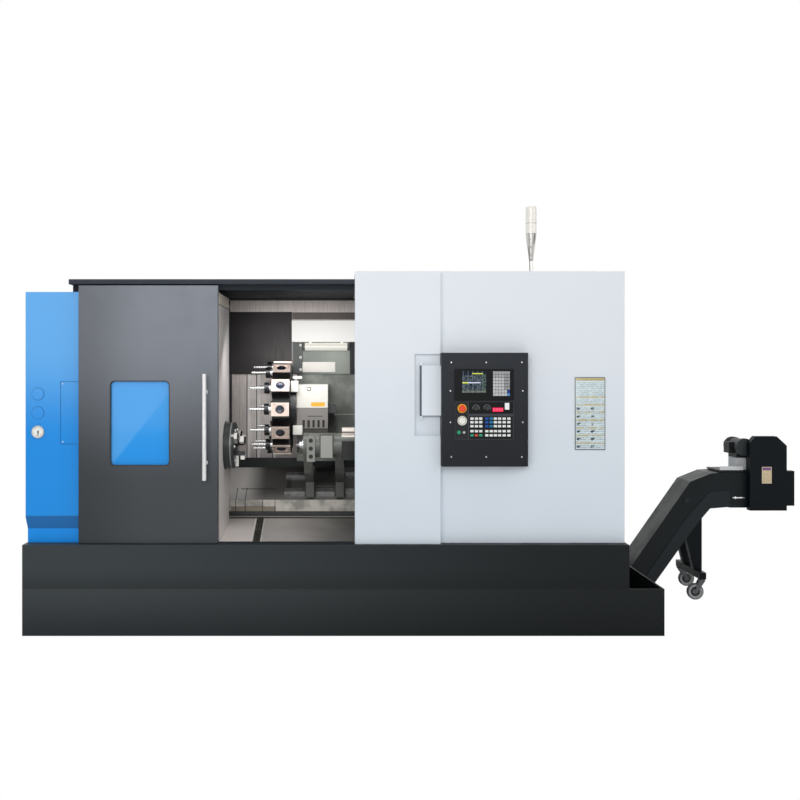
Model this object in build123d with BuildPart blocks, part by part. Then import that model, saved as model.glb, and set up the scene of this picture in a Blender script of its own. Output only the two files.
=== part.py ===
from build123d import *
from math import atan2, cos, radians, sin, sqrt, tan
import os

os.makedirs("parts", exist_ok=True)

# Turning lathe with a slanted cross slide, a twelve-station turret, a sliding door and a chip conveyor.
# Millimetres. X runs right along the spindle axis, Y runs from the front to the back, Z is up.
# The origin is the middle of the tank's underside, on the floor.

# Driving sizes of the whole machine
base_length = 4176
base_depth = 2100
tank_height = 305
base_height = 286
base_step = 228
spindle_y = -620
spindle_z = 1207
slant = radians(30)
home_distance = 490
left_cabinet_height = 1653
left_cabinet_width = 1191
roof_bottom = 2291
post_width = 560
post_top = 2376
right_cabinet_width = 1217.5
right_cabinet_height = 1789
door_width = 912
door_height = 1687
conveyor_width = 282
conveyor_rise = 598

# Clearances and sheet thicknesses
running_gap = 0.4
slide_gap = 0.6
panel_gap = 2
tank_wall = 12
base_wall = 25
base_plate = 30
panel = 20
sheet = 4
screen = 3

# Edges that several pieces share
half_length = base_length / 2
base_front = -base_depth / 2
base_back = base_depth / 2
base_right = half_length - base_step
base_top = tank_height + base_height
housing_back = base_back - 20
door_front = base_front + 38
door_depth = 48
door_back = door_front + door_depth
blue_front = door_back + panel_gap
cabinet_left = -half_length - 10
cabinet_right = cabinet_left + left_cabinet_width
cabinet_top = base_top + left_cabinet_height
guard_left = cabinet_right + panel_gap
guard_wall = 20
work_left = guard_left + guard_wall
jamb_right = work_left + 65
jamb_back = -430
post_left = 76
post_right = post_left + post_width
cabinet_right_front = base_front + 81
bay_left = 1180


def block(x0, x1, y0, y1, z0, z1, mode=Mode.ADD):
    """A square-cornered block between two corners."""
    with Locations(((x0 + x1) / 2, (y0 + y1) / 2, (z0 + z1) / 2)):
        Box(abs(x1 - x0), abs(y1 - y0), abs(z1 - z0), mode=mode)


def outline(plane, points, length, mode=Mode.ADD):
    """A straight-sided outline on a plane, drawn out along the plane's normal."""
    with BuildSketch(plane) as face:
        with BuildLine():
            Polyline(*points, close=True)
        make_face()
    extrude(face.sketch, amount=length, mode=mode)


def rod(plane, centre, radius, length, mode=Mode.ADD):
    """A round bar square to a plane, drawn out along the plane's normal."""
    with BuildSketch(plane) as face:
        with Locations(centre):
            Circle(radius)
    extrude(face.sketch, amount=length, mode=mode)


def across(x):
    """The plane square to the spindle axis at X = x; a sketch on it holds Y and Z."""
    return Plane.YZ.offset(x)


def facing(y):
    """The upright plane at Y = y that faces the front; a sketch on it holds X and Z."""
    return Plane.XZ.offset(-y)


def level(z):
    """The level plane at height z; a sketch on it holds X and Y."""
    return Plane.XY.offset(z)


def save(piece, name):
    """Labels a finished piece and writes its file."""
    piece.label = name
    export_step(piece, "parts/" + name + ".step")


# Conveyor sizes that the tank and the base need
conveyor_front = 0
conveyor_back = conveyor_front + conveyor_width
conveyor_wall = 8
conveyor_start = -700
conveyor_trough_top = 230
notch_gap = 8

# Coolant tank: an open tub with cross ribs and a notch in its right wall for the conveyor
rib_pitch = 700
rib_thickness = 20
with BuildPart() as coolant_tank:
    block(-half_length, half_length, base_front, base_back, 0, tank_height)
    rib_places = [rib_pitch * step for step in (-2, -1, 0, 1, 2)]
    bay_starts = [-half_length + tank_wall] + [place + rib_thickness / 2 for place in rib_places]
    bay_ends = [place - rib_thickness / 2 for place in rib_places] + [half_length - tank_wall]
    for bay_start, bay_end in zip(bay_starts, bay_ends):
        block(
            bay_start,
            bay_end,
            base_front + tank_wall,
            base_back - tank_wall,
            tank_wall,
            tank_height,
            Mode.SUBTRACT,
        )
    block(
        conveyor_start - notch_gap,
        half_length,
        conveyor_front - notch_gap,
        conveyor_back + notch_gap,
        tank_wall,
        tank_height,
        Mode.SUBTRACT,
    )
save(coolant_tank.part, "coolant_tank")

# Base: a top plate on four skirts, with a chip slot over the conveyor
slot_left = -650
slot_right = 600
slot_inset = 20
with BuildPart() as machine_base:
    block(-half_length, base_right, base_front, base_back, tank_height, base_top)
    block(
        -half_length + base_wall,
        base_right - base_wall,
        base_front + base_wall,
        base_back - base_wall,
        tank_height,
        base_top - base_plate,
        Mode.SUBTRACT,
    )
    block(
        slot_left,
        slot_right,
        conveyor_front + slot_inset,
        conveyor_back - slot_inset,
        base_top - base_plate,
        base_top,
        Mode.SUBTRACT,
    )
    chamfer(machine_base.edges().filter_by(Axis.X).group_by(Axis.Z)[-1].sort_by(Axis.Y)[0], 3)
save(machine_base.part, "machine_base")

# Slope frame: the top surface of the bed's cover, sketched as (distance up the slope, height off it)
cover_front = -243
cover_foot = base_top + 87
cover_knee = base_top + 182
cover_top_y = 155
cover_top_z = base_top + 380
slope_angle = atan2(cover_top_z - cover_knee, cover_top_y - cover_front)
slope_length = sqrt((cover_top_z - cover_knee) ** 2 + (cover_top_y - cover_front) ** 2)


def on_slope(x):
    """The plane square to the spindle axis at X = x, turned and moved to the bed's slope."""
    return Plane(
        origin=(x, cover_front, cover_knee),
        x_dir=(0, cos(slope_angle), sin(slope_angle)),
        z_dir=(1, 0, 0),
    )


def slope_height(y):
    """The height of the slope's top surface at Y = y."""
    return cover_knee + (y - cover_front) * tan(slope_angle)


# Bed casting: a sloped front that carries the tailstock and a column that carries the saddle
bed_left = work_left + 5
bed_right = 1150
bed_front = cover_front + 13
bed_ledge = base_top + 357
column_face = 300
column_top = 1760
column_back = 900
casting_wall = 60
cover_drop = sheet / cos(slope_angle)
with BuildPart() as slant_bed:
    outline(
        across(bed_left),
        [
            (bed_front, base_top),
            (bed_front, slope_height(bed_front) - cover_drop),
            (cover_front + (bed_ledge + cover_drop - cover_knee) / tan(slope_angle), bed_ledge),
            (column_face, bed_ledge),
            (column_face, column_top - casting_wall),
            (column_face + 2 * casting_wall, column_top),
            (column_back - 100, column_top),
            (column_back, column_top - 110),
            (column_back, base_top),
        ],
        bed_right - bed_left,
    )
    middle_rib = (base_top + column_top) / 2
    for cell_bottom, cell_top in (
        (base_top + casting_wall, middle_rib - casting_wall / 2),
        (middle_rib + casting_wall / 2, column_top - 2 * casting_wall),
    ):
        block(
            bed_left,
            bed_right,
            column_face + casting_wall,
            column_back - casting_wall,
            cell_bottom,
            cell_top,
            Mode.SUBTRACT,
        )
    outline(
        across(bed_left),
        [
            (bed_front + casting_wall, base_top + casting_wall),
            (bed_front + casting_wall, slope_height(bed_front + casting_wall) - casting_wall),
            (column_face - 3 * casting_wall, slope_height(column_face - 3 * casting_wall) - casting_wall),
            (column_face, bed_ledge - casting_wall),
            (column_face, base_top + casting_wall),
        ],
        bed_right - bed_left,
        Mode.SUBTRACT,
    )
save(slant_bed.part, "slant_bed")

# Guide rails: two for the saddle on the column's face, two for the tailstock on the slope
rail_width = 45
rail_height = 38
rail_ends = 20
lower_rail = 1150
upper_rail = 1560
tail_rails = (75, 300)
tail_rails_left = -440
tail_rails_right = 620
tail_rail_top = 22
with BuildPart() as bed_guideways:
    for rail_bottom in (lower_rail, upper_rail):
        block(
            bed_left + rail_ends,
            bed_right - rail_ends,
            column_face - rail_height,
            column_face,
            rail_bottom,
            rail_bottom + rail_width,
        )
    for place in tail_rails:
        outline(
            on_slope(tail_rails_left),
            [
                (place, -sheet),
                (place + rail_width, -sheet),
                (place + rail_width, tail_rail_top),
                (place, tail_rail_top),
            ],
            tail_rails_right - tail_rails_left,
        )
save(bed_guideways.part, "bed_guideways")

# Bed cover: folded sheet over the bed's front and slope, slotted for the tailstock's rails
with BuildPart() as bed_cover:
    outline(
        across(work_left),
        [
            (cover_front, cover_foot),
            (cover_front, cover_knee),
            (cover_top_y, cover_top_z),
            (cover_top_y + sheet * sin(slope_angle), cover_top_z - sheet * cos(slope_angle)),
            (cover_front + sheet, slope_height(cover_front + sheet) - cover_drop),
            (cover_front + sheet, cover_foot),
        ],
        post_right - work_left,
    )
    for place in tail_rails:
        outline(
            on_slope(tail_rails_left - slide_gap),
            [
                (place - slide_gap, -2 * sheet),
                (place + rail_width + slide_gap, -2 * sheet),
                (place + rail_width + slide_gap, sheet),
                (place - slide_gap, sheet),
            ],
            tail_rails_right - tail_rails_left + 2 * slide_gap,
            Mode.SUBTRACT,
        )
save(bed_cover.part, "bed_cover")

# Chip apron: a sheet that falls from the bed to the front sill, with a lipped gap across it
apron_front = -960
apron_lip = 3
apron_rise = 71
apron_leg = 6
gap_front = -573
gap_back = -605
gap_width = 16
lip_height = 5
with BuildPart() as chip_apron:
    outline(
        across(work_left),
        [
            (apron_front, base_top),
            (apron_front, base_top + apron_lip),
            (cover_front, base_top + apron_rise),
            (cover_front, base_top),
            (cover_front - apron_leg, base_top),
            (cover_front - apron_leg, base_top + apron_rise - 2 * apron_leg),
            (apron_front + 6 * apron_leg, base_top),
        ],
        post_right - work_left,
    )
    block(
        work_left,
        jamb_right + panel_gap,
        apron_front,
        jamb_back + panel_gap,
        base_top,
        base_top + apron_rise,
        Mode.SUBTRACT,
    )
    for side in (-1, 1):
        outline(
            level(base_top + apron_rise - lip_height),
            [
                (gap_front + side * gap_width / 2, apron_front + 60),
                (gap_front + side * (gap_width / 2 + lip_height), apron_front + 60),
                (gap_back + side * (gap_width / 2 + lip_height), cover_front),
                (gap_back + side * gap_width / 2, cover_front),
            ],
            lip_height,
        )
save(chip_apron.part, "chip_apron")

# Headstock casting with the spindle's bore
headstock_left = -1560
headstock_right = cabinet_right - 5
headstock_half = 210
headstock_crown = 223
spindle_radius = 60
with BuildPart() as headstock:
    outline(
        across(headstock_left),
        [
            (spindle_y - headstock_half, base_top),
            (spindle_y - headstock_half, spindle_z + headstock_half / 2),
            (spindle_y - headstock_half / 2, spindle_z + headstock_crown),
            (spindle_y + headstock_half / 2, spindle_z + headstock_crown),
            (spindle_y + headstock_half, spindle_z + headstock_half / 2),
            (spindle_y + headstock_half, base_top),
        ],
        headstock_right - headstock_left,
    )
    rod(
        across(headstock_left),
        (spindle_y, spindle_z),
        spindle_radius + running_gap,
        headstock_right - headstock_left,
        Mode.SUBTRACT,
    )
save(headstock.part, "headstock")

# Left cabinet: a shell over the headstock, drawn in below a slanted band
band_top = base_top + 178
band_bottom = band_top - 86
band_front = 10
band_side = 14
hatch_left = -1864
hatch_right = -1620
hatch_bottom = 1242
hatch_top = 1653
hatch_thickness = 3
hatch_gap = 1
blank_x = -2014
blanks = (1447, 1571)
blank_radius = 40
blank_depth = 4
vent_rows = 9
vent_pitch = 46
vent_height = 14
with BuildPart() as left_cabinet:
    block(cabinet_left, cabinet_right, blue_front, housing_back, band_top, cabinet_top)
    block(
        cabinet_left + band_side,
        cabinet_right,
        blue_front + band_front,
        housing_back,
        base_top,
        band_top,
    )
    with BuildSketch(level(band_bottom)) as band_foot:
        with Locations(((cabinet_left + band_side + cabinet_right) / 2, (blue_front + band_front + housing_back) / 2)):
            Rectangle(cabinet_right - cabinet_left - band_side, housing_back - blue_front - band_front)
    with BuildSketch(level(band_top)) as band_head:
        with Locations(((cabinet_left + cabinet_right) / 2, (blue_front + housing_back) / 2)):
            Rectangle(cabinet_right - cabinet_left, housing_back - blue_front)
    loft([band_foot.sketch.face(), band_head.sketch.face()])
    fillet(left_cabinet.edges().filter_by(Axis.Z).group_by(Axis.X)[0], 8)
    block(
        cabinet_left + band_side + panel,
        cabinet_right,
        blue_front + band_front + panel,
        housing_back - panel,
        base_top,
        cabinet_top - panel,
        Mode.SUBTRACT,
    )
    block(
        hatch_left - hatch_gap,
        hatch_right + hatch_gap,
        blue_front,
        blue_front + hatch_thickness,
        hatch_bottom - hatch_gap,
        hatch_top + hatch_gap,
        Mode.SUBTRACT,
    )
    for blank_z in blanks:
        rod(facing(blue_front), (blank_x, blank_z), blank_radius, blank_depth)
    for row in range(vent_rows):
        vent_bottom = cabinet_top - 640 + row * vent_pitch
        block(-1700, -1240, housing_back - panel, housing_back, vent_bottom, vent_bottom + vent_height, Mode.SUBTRACT)
save(left_cabinet.part, "left_cabinet")

# Service hatch: a plate set flush into the cabinet's front, half behind the open door
with BuildPart() as service_hatch:
    block(hatch_left, hatch_right, blue_front, blue_front + hatch_thickness, hatch_bottom, hatch_top)
save(service_hatch.part, "service_hatch")

# Pressure gauge with its pivot pin, and the needle that turns on the pin
gauge_x = -2012
gauge_z = 1321
gauge_radius = 42
gauge_depth = 12
gauge_rim = 5
dial_depth = 4
pin_radius = 2
with BuildPart() as pressure_gauge:
    rod(facing(blue_front), (gauge_x, gauge_z), gauge_radius, gauge_depth)
    fillet(pressure_gauge.edges().filter_by(GeomType.CIRCLE).sort_by(Axis.Y)[0], 2)
    rod(
        facing(blue_front - dial_depth),
        (gauge_x, gauge_z),
        gauge_radius - gauge_rim,
        gauge_depth - dial_depth,
        Mode.SUBTRACT,
    )
    rod(facing(blue_front - dial_depth), (gauge_x, gauge_z), pin_radius, 5)
save(pressure_gauge.part, "pressure_gauge")

needle_length = 30
needle_hub = 6
with BuildPart() as gauge_needle:
    rod(facing(blue_front - dial_depth - 1), (gauge_x, gauge_z), needle_hub, 2)
    outline(
        facing(blue_front - dial_depth - 1),
        [
            (gauge_x - needle_hub / 2, gauge_z),
            (gauge_x - 1, gauge_z - needle_length),
            (gauge_x + 1, gauge_z - needle_length),
            (gauge_x + needle_hub / 2, gauge_z),
            (gauge_x, gauge_z + needle_length / 2),
        ],
        2,
    )
    rod(facing(blue_front - dial_depth), (gauge_x, gauge_z), pin_radius + running_gap, 5, Mode.SUBTRACT)
save(gauge_needle.part, "gauge_needle")

# Upper housing: the roof plate and the skirt that closes it down to the left cabinet
roof_left = -1797
roof_thickness = 33
skirt_front = -915
with BuildPart() as upper_housing:
    block(roof_left, post_left, door_front, housing_back, roof_bottom, roof_bottom + roof_thickness)
    chamfer(upper_housing.edges().filter_by(Axis.X).group_by(Axis.Z)[-1].sort_by(Axis.Y)[0], 5)
    block(roof_left, cabinet_right, skirt_front, housing_back, cabinet_top, roof_bottom)
    block(
        roof_left + panel,
        cabinet_right,
        skirt_front + panel,
        housing_back - panel,
        cabinet_top,
        roof_bottom,
        Mode.SUBTRACT,
    )
save(upper_housing.part, "upper_housing")

# Rear cover of the working space, with a louvred grille
with BuildPart() as rear_cover:
    block(guard_left, post_right, housing_back - panel, housing_back, base_top, roof_bottom)
    block(post_left + panel, post_right, housing_back - panel, housing_back, roof_bottom, post_top - panel)
    for row in range(vent_rows):
        vent_bottom = base_top + 200 + row * vent_pitch
        block(-300, 160, housing_back - panel, housing_back, vent_bottom, vent_bottom + vent_height, Mode.SUBTRACT)
save(rear_cover.part, "rear_cover")

# Side guard: the left wall of the working space and the boxed jamb round the chuck
guard_top = cabinet_top - 4
chuck_radius = 160
jamb_wall = 12
screen_y = 186
screen_pitch = screen + slide_gap
guard_back = screen_y - 21
with BuildPart() as side_guard:
    block(guard_left, work_left, jamb_back, guard_back, base_top, guard_top)
    block(guard_left, jamb_right, blue_front + 4, jamb_back, base_top, guard_top)
    block(
        guard_left,
        jamb_right - jamb_wall,
        blue_front + 4 + jamb_wall,
        jamb_back - jamb_wall,
        base_top,
        guard_top - jamb_wall,
        Mode.SUBTRACT,
    )
    rod(
        across(guard_left),
        (spindle_y, spindle_z),
        chuck_radius + 8,
        jamb_right - guard_left,
        Mode.SUBTRACT,
    )
save(side_guard.part, "side_guard")

# Back guard: the fixed screens behind the turret, with the white lamp housing and its panels
back_wall = 6
back_bottom = 1704
lamp_box_left = -401
lamp_box_right = 630
lamp_box_front = guard_back - 65
lamp_box_bottom = 1950
lamp_box_top = 2114
fixed_right = -585
screen_bottom = 1044
screen_top = 1700
with BuildPart() as back_guard:
    block(work_left, post_right, guard_back, guard_back + back_wall, back_bottom, roof_bottom)
    block(
        work_left,
        post_right,
        guard_back,
        screen_y + 4 * screen_pitch + 3,
        screen_top + slide_gap,
        back_bottom,
    )
    block(
        work_left,
        fixed_right,
        screen_y + 3 * screen_pitch,
        screen_y + 3 * screen_pitch + screen,
        screen_bottom,
        back_bottom,
    )
    block(lamp_box_left, lamp_box_right, lamp_box_front, guard_back, lamp_box_bottom, lamp_box_top)
    block(lamp_box_left + 2, -322, guard_back - 25, guard_back, 1685 + 20, lamp_box_bottom)
    block(-322, -66, guard_back - 12, guard_back, 1716, 1793)
    block(50, 85, guard_back - 8, guard_back, 1716, lamp_box_bottom)
    block(work_left, post_right, guard_back - 3, guard_back, 2187, 2274)
    block(lamp_box_left, post_right, guard_back - 2, guard_back, 2130, 2180)
    for bolt_z in (1735, 1830, 1925):
        rod(facing(guard_back - 25), (-335, bolt_z), 7, 6)
save(back_guard.part, "back_guard")

# Work lamp: a tube light under the white housing
lamp_left = -318
lamp_right = 46
lamp_radius = 30
lamp_y = lamp_box_front + 30
lamp_z = lamp_box_bottom - 38
with BuildPart() as work_lamp:
    rod(across(lamp_left), (lamp_y, lamp_z), lamp_radius, lamp_right - lamp_left)
    fillet(work_lamp.edges().filter_by(GeomType.CIRCLE), 10)
    for clamp_x in (lamp_left + 60, lamp_right - 60):
        block(clamp_x - 10, clamp_x + 10, lamp_y - 12, lamp_y + 12, lamp_z, lamp_box_bottom)
save(work_lamp.part, "work_lamp")

# Control panel hinge, set in the recess of the tailstock cover
recess_left = 466
recess_bottom = 1297
recess_top = 1834
recess_depth = 28
cover_thickness = 40
arm_x = 510
arm_bottom = 1427
arm_top = 1759
arm_back = door_front + 22
arm_thickness = 18
arm_y = arm_back - arm_thickness / 2
barrel_radius = arm_thickness / 2
hinge_pin = 5
hinge_ear = 24

# Tailstock cover: the white front section that the door closes against, its roof and left return
with BuildPart() as tailstock_cover:
    block(post_left, post_right, door_front, door_front + cover_thickness, base_top, post_top)
    block(post_left, post_right, door_front, housing_back, post_top - panel, post_top)
    block(post_left, post_left + panel, door_front, door_back, base_top, post_top)
    block(post_left, post_left + panel, door_front, housing_back, roof_bottom + roof_thickness, post_top)
    block(
        recess_left,
        post_right,
        door_front,
        door_front + recess_depth,
        recess_bottom,
        recess_top,
        Mode.SUBTRACT,
    )
    for ear_bottom in (arm_bottom - running_gap - hinge_ear, arm_top + running_gap):
        block(
            arm_x - barrel_radius,
            arm_x + barrel_radius,
            arm_y - barrel_radius,
            door_front + recess_depth,
            ear_bottom,
            ear_bottom + hinge_ear,
        )
    rod(
        level(arm_bottom - hinge_ear),
        (arm_x, arm_y),
        hinge_pin,
        arm_top - arm_bottom + 2 * hinge_ear,
    )
save(tailstock_cover.part, "tailstock_cover")

# Right cabinet: the white section over the bed's end and the electrical bay beside it
cabinet_edge = post_right + 0.5
cabinet_end = cabinet_edge + right_cabinet_width
cabinet_roof = base_top + right_cabinet_height
bay_frame = 40
bay_hinge_gap = 8
bay_door_right = cabinet_end - 56
bay_door_left = bay_left + 35
bay_door_bottom = base_top + 49
bay_door_top = cabinet_roof - 50
bay_door_front = housing_back + slide_gap
bay_door_thickness = 19
bay_hinge_x = bay_door_right + bay_hinge_gap
bay_hinge_y = bay_door_front + bay_door_thickness - 7
bay_hinge_radius = 7
bay_pin = 3
bay_knuckle = 60
with BuildPart() as right_cabinet:
    block(cabinet_edge, cabinet_end, cabinet_right_front, housing_back, base_top, cabinet_roof)
    block(
        cabinet_edge,
        bay_left,
        cabinet_right_front + panel,
        housing_back - panel,
        base_top,
        cabinet_roof - panel,
        Mode.SUBTRACT,
    )
    block(
        bay_left + panel,
        cabinet_end - panel,
        cabinet_right_front + panel,
        housing_back - panel,
        base_top,
        cabinet_roof - panel,
        Mode.SUBTRACT,
    )
    block(
        bay_left + panel + bay_frame,
        bay_door_right - bay_frame / 2,
        housing_back - panel,
        housing_back,
        bay_door_bottom + bay_frame / 2,
        bay_door_top - bay_frame / 2,
        Mode.SUBTRACT,
    )
    fillet(right_cabinet.edges().filter_by(Axis.Z).group_by(Axis.Y)[0].group_by(Axis.X)[-1], 4)
    for knuckle_z in (bay_door_bottom + 200, bay_door_top - 200):
        for lug_z in (knuckle_z - 1.5 * bay_knuckle, knuckle_z + 0.5 * bay_knuckle):
            rod(level(lug_z), (bay_hinge_x, bay_hinge_y), bay_hinge_radius, bay_knuckle)
            block(
                bay_hinge_x - 4,
                bay_hinge_x + 4,
                housing_back,
                bay_hinge_y,
                lug_z,
                lug_z + bay_knuckle,
            )
        rod(level(knuckle_z - bay_knuckle), (bay_hinge_x, bay_hinge_y), bay_pin, 2 * bay_knuckle)
save(right_cabinet.part, "right_cabinet")

# Electrical bay door at the rear, with its knuckles and a pull recess
with BuildPart() as electric_cabinet_door:
    block(
        bay_door_left,
        bay_door_right,
        bay_door_front,
        bay_door_front + bay_door_thickness,
        bay_door_bottom,
        bay_door_top,
    )
    for knuckle_z in (bay_door_bottom + 200, bay_door_top - 200):
        knuckle_length = bay_knuckle - 2 * slide_gap
        rod(level(knuckle_z - knuckle_length / 2), (bay_hinge_x, bay_hinge_y), bay_hinge_radius, knuckle_length)
        block(
            bay_door_right,
            bay_hinge_x,
            bay_hinge_y - 3,
            bay_hinge_y + 3,
            knuckle_z - knuckle_length / 2,
            knuckle_z + knuckle_length / 2,
        )
        rod(
            level(knuckle_z - knuckle_length / 2),
            (bay_hinge_x, bay_hinge_y),
            bay_pin + running_gap,
            knuckle_length,
            Mode.SUBTRACT,
        )
    door_middle = (bay_door_bottom + bay_door_top) / 2
    block(
        bay_door_left + 25,
        bay_door_left + 65,
        bay_door_front + bay_door_thickness - 12,
        bay_door_front + bay_door_thickness,
        door_middle - 80,
        door_middle + 80,
        Mode.SUBTRACT,
    )
    block(
        bay_door_left + 25,
        bay_door_left + 65,
        bay_door_front + bay_door_thickness - 5,
        bay_door_front + bay_door_thickness,
        door_middle - 8,
        door_middle + 8,
    )
save(electric_cabinet_door.part, "electric_cabinet_door")

# Sliding door: panel, top hangers and a bottom groove over the guide
door_right = jamb_right - 1
door_left = door_right - door_width
door_bottom = base_top + 4
door_top = door_bottom + door_height
window_left = door_left + 205
window_width = 392
window_bottom = door_bottom + 506
window_height = 559
window_radius = 31
window_rebate = 14
glass_thickness = 11
glass_front = door_back - 24
rail_left = door_left
rail_right = post_left - 6
rail_y = door_back + 18
top_rail = 6
rail_drop = 33
guide_y = door_front + 20
guide_thickness = 6
guide_height = 12
hanger_width = 70
hanger_inset = 8
with BuildPart() as door_panel:
    block(door_left, door_right, door_front, door_back, door_bottom, door_top)
    fillet(door_panel.edges().filter_by(Axis.Z).group_by(Axis.Y)[0], 4)
    window_centre = (window_left + window_width / 2, window_bottom + window_height / 2)
    with BuildSketch(facing(door_back)) as opening:
        with Locations(window_centre):
            RectangleRounded(window_width, window_height, window_radius)
    extrude(opening.sketch, amount=door_depth, mode=Mode.SUBTRACT)
    with BuildSketch(facing(door_back)) as rebate:
        with Locations(window_centre):
            RectangleRounded(
                window_width + 2 * window_rebate,
                window_height + 2 * window_rebate,
                window_radius + window_rebate,
            )
    extrude(rebate.sketch, amount=door_back - glass_front, mode=Mode.SUBTRACT)
    block(
        door_left,
        door_right,
        guide_y - 1,
        guide_y + guide_thickness + 1,
        door_bottom,
        base_top + guide_height + 2,
        Mode.SUBTRACT,
    )
    for hanger_left in (door_left + hanger_inset, door_right - hanger_inset - hanger_width):
        block(
            hanger_left,
            hanger_left + hanger_width,
            door_back,
            door_back + 39,
            cabinet_top + panel_gap,
            door_top,
        )
        block(
            hanger_left,
            hanger_left + hanger_width,
            rail_y - slide_gap,
            rail_y + top_rail + slide_gap,
            roof_bottom - rail_drop - slide_gap,
            door_top,
            Mode.SUBTRACT,
        )
save(door_panel.part, "door_panel")

# Door window: a pane in the door's rear rebate
with BuildPart() as door_window:
    with BuildSketch(facing(glass_front + glass_thickness)) as pane:
        with Locations(window_centre):
            RectangleRounded(
                window_width + 2 * window_rebate - 2,
                window_height + 2 * window_rebate - 2,
                window_radius + window_rebate - 1,
            )
    extrude(pane.sketch, amount=glass_thickness)
save(door_window.part, "door_window")

# Door handle: a long bar on two posts
handle_x = door_right - 80
handle_radius = 14
handle_y = door_front - 60
handle_bottom = door_bottom + 417
handle_top = door_bottom + 1109
handle_posts = (handle_bottom + 112, handle_top - 118)
with BuildPart() as door_handle:
    rod(level(handle_bottom), (handle_x, handle_y), handle_radius, handle_top - handle_bottom)
    fillet(door_handle.edges().filter_by(GeomType.CIRCLE), 4)
    for post_z in handle_posts:
        rod(facing(door_front), (handle_x, post_z), 9, door_front - handle_y)
        rod(facing(door_front), (handle_x, post_z), 16, 4)
save(door_handle.part, "door_handle")

# Door rails: the hanging bar under the roof and the guide strip on the sill
with BuildPart() as door_rails:
    block(rail_left, rail_right, rail_y, rail_y + top_rail, roof_bottom - rail_drop, roof_bottom)
    block(rail_left, rail_right, guide_y, guide_y + guide_thickness, base_top, base_top + guide_height)
save(door_rails.part, "door_rails")

# Signal lamp: a stand on the cabinet roof and the lens above it
lamp_post_x = 1301
lamp_post_y = -650
stand_height = 164
lens_bottom = cabinet_roof + 295
lens_height = 189
lens_radius = 38
with BuildPart() as signal_lamp_stand:
    rod(level(cabinet_roof), (lamp_post_x, lamp_post_y), 34, 8)
    rod(level(cabinet_roof), (lamp_post_x, lamp_post_y), 13, stand_height)
    with BuildSketch(level(cabinet_roof + stand_height - 60)) as neck:
        with Locations((lamp_post_x, lamp_post_y)):
            Circle(14)
    with BuildSketch(level(lens_bottom)) as cup:
        with Locations((lamp_post_x, lamp_post_y)):
            Circle(lens_radius)
    loft([neck.sketch.face(), cup.sketch.face()])
save(signal_lamp_stand.part, "signal_lamp_stand")

with BuildPart() as signal_lamp_lens:
    rod(level(lens_bottom), (lamp_post_x, lamp_post_y), lens_radius, lens_height)
    fillet(signal_lamp_lens.edges().filter_by(GeomType.CIRCLE).sort_by(Axis.Z)[-1], 12)
save(signal_lamp_lens.part, "signal_lamp_lens")

# Chuck with its spindle: three radial slots in its face carry the jaws
spindle_rear = -1500
chuck_back = -870
chuck_face = -748
chuck_bore = 34
jaw_reach = 62
jaw_width = 45
jaw_inner = 42
jaw_outer = 146
tongue_width = 24
tongue_depth = 20
jaw_angles = (150, 270, 30)


def jaw_plane(x, angle):
    """The plane at X = x whose sketch runs out from the spindle axis at an angle, then across."""
    turn = radians(angle)
    return Plane(origin=(x, spindle_y, spindle_z), x_dir=(0, cos(turn), sin(turn)), z_dir=(1, 0, 0))


def radial_bar(x0, x1, angle, inner, outer, width, mode=Mode.ADD):
    """A square bar that runs out from the spindle axis."""
    outline(
        jaw_plane(x0, angle),
        [(inner, -width / 2), (outer, -width / 2), (outer, width / 2), (inner, width / 2)],
        x1 - x0,
        mode,
    )


with BuildPart() as spindle_chuck:
    rod(across(spindle_rear), (spindle_y, spindle_z), spindle_radius, chuck_back - spindle_rear)
    rod(across(chuck_back), (spindle_y, spindle_z), chuck_radius, chuck_face - chuck_back)
    chamfer(spindle_chuck.edges().filter_by(GeomType.CIRCLE).sort_by(Axis.X)[-1], 5)
    rod(across(chuck_face - 90), (spindle_y, spindle_z), chuck_bore, 90, Mode.SUBTRACT)
    for angle in jaw_angles:
        radial_bar(
            chuck_face - tongue_depth - running_gap,
            chuck_face,
            angle,
            chuck_bore - 2,
            chuck_radius + 5,
            tongue_width + 2 * running_gap,
            Mode.SUBTRACT,
        )
save(spindle_chuck.part, "spindle_chuck")

# Chuck jaws: stepped blocks with a tongue in the chuck's slot
jaws = {}
for number, angle in zip((1, 2, 3), jaw_angles):
    with BuildPart() as chuck_jaw:
        radial_bar(chuck_face - tongue_depth, chuck_face + running_gap, angle, jaw_inner + 4, jaw_outer, tongue_width)
        radial_bar(chuck_face + running_gap, chuck_face + jaw_reach / 2, angle, jaw_inner, jaw_outer, jaw_width)
        radial_bar(chuck_face + jaw_reach / 2, chuck_face + jaw_reach, angle, jaw_inner, jaw_outer - 46, jaw_width)
        chamfer(chuck_jaw.edges().filter_by(Axis.X).group_by(Axis.X)[-1], 3)
    jaws["chuck_jaw_" + str(number)] = chuck_jaw.part
for jaw_name, jaw_part in jaws.items():
    save(jaw_part, jaw_name)

# Turret and cross slide, on the slanted slide plane
turret_y = spindle_y + home_distance * cos(slant)
turret_z = spindle_z + home_distance * sin(slant)
stations = 12
disc_apothem = 245
block_height = 97
block_width = 96
disc_left = -513
disc_right = -385
flange_radius = 198
flange_thickness = 44
turret_shaft = 60
turret_shaft_length = 30
head_left = -340
head_right = -114
tool_circle = 300
shank_radius = 25
collar_radius = 40
collar_length = 33
shank_show = 17
drill_radius = 9
drill_length = 102
tool_angle = 210


def turret_plane(x, angle):
    """The plane at X = x whose sketch runs out from the turret axis at an angle, then across."""
    turn = radians(angle)
    return Plane(origin=(x, turret_y, turret_z), x_dir=(0, cos(turn), sin(turn)), z_dir=(1, 0, 0))


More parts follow.
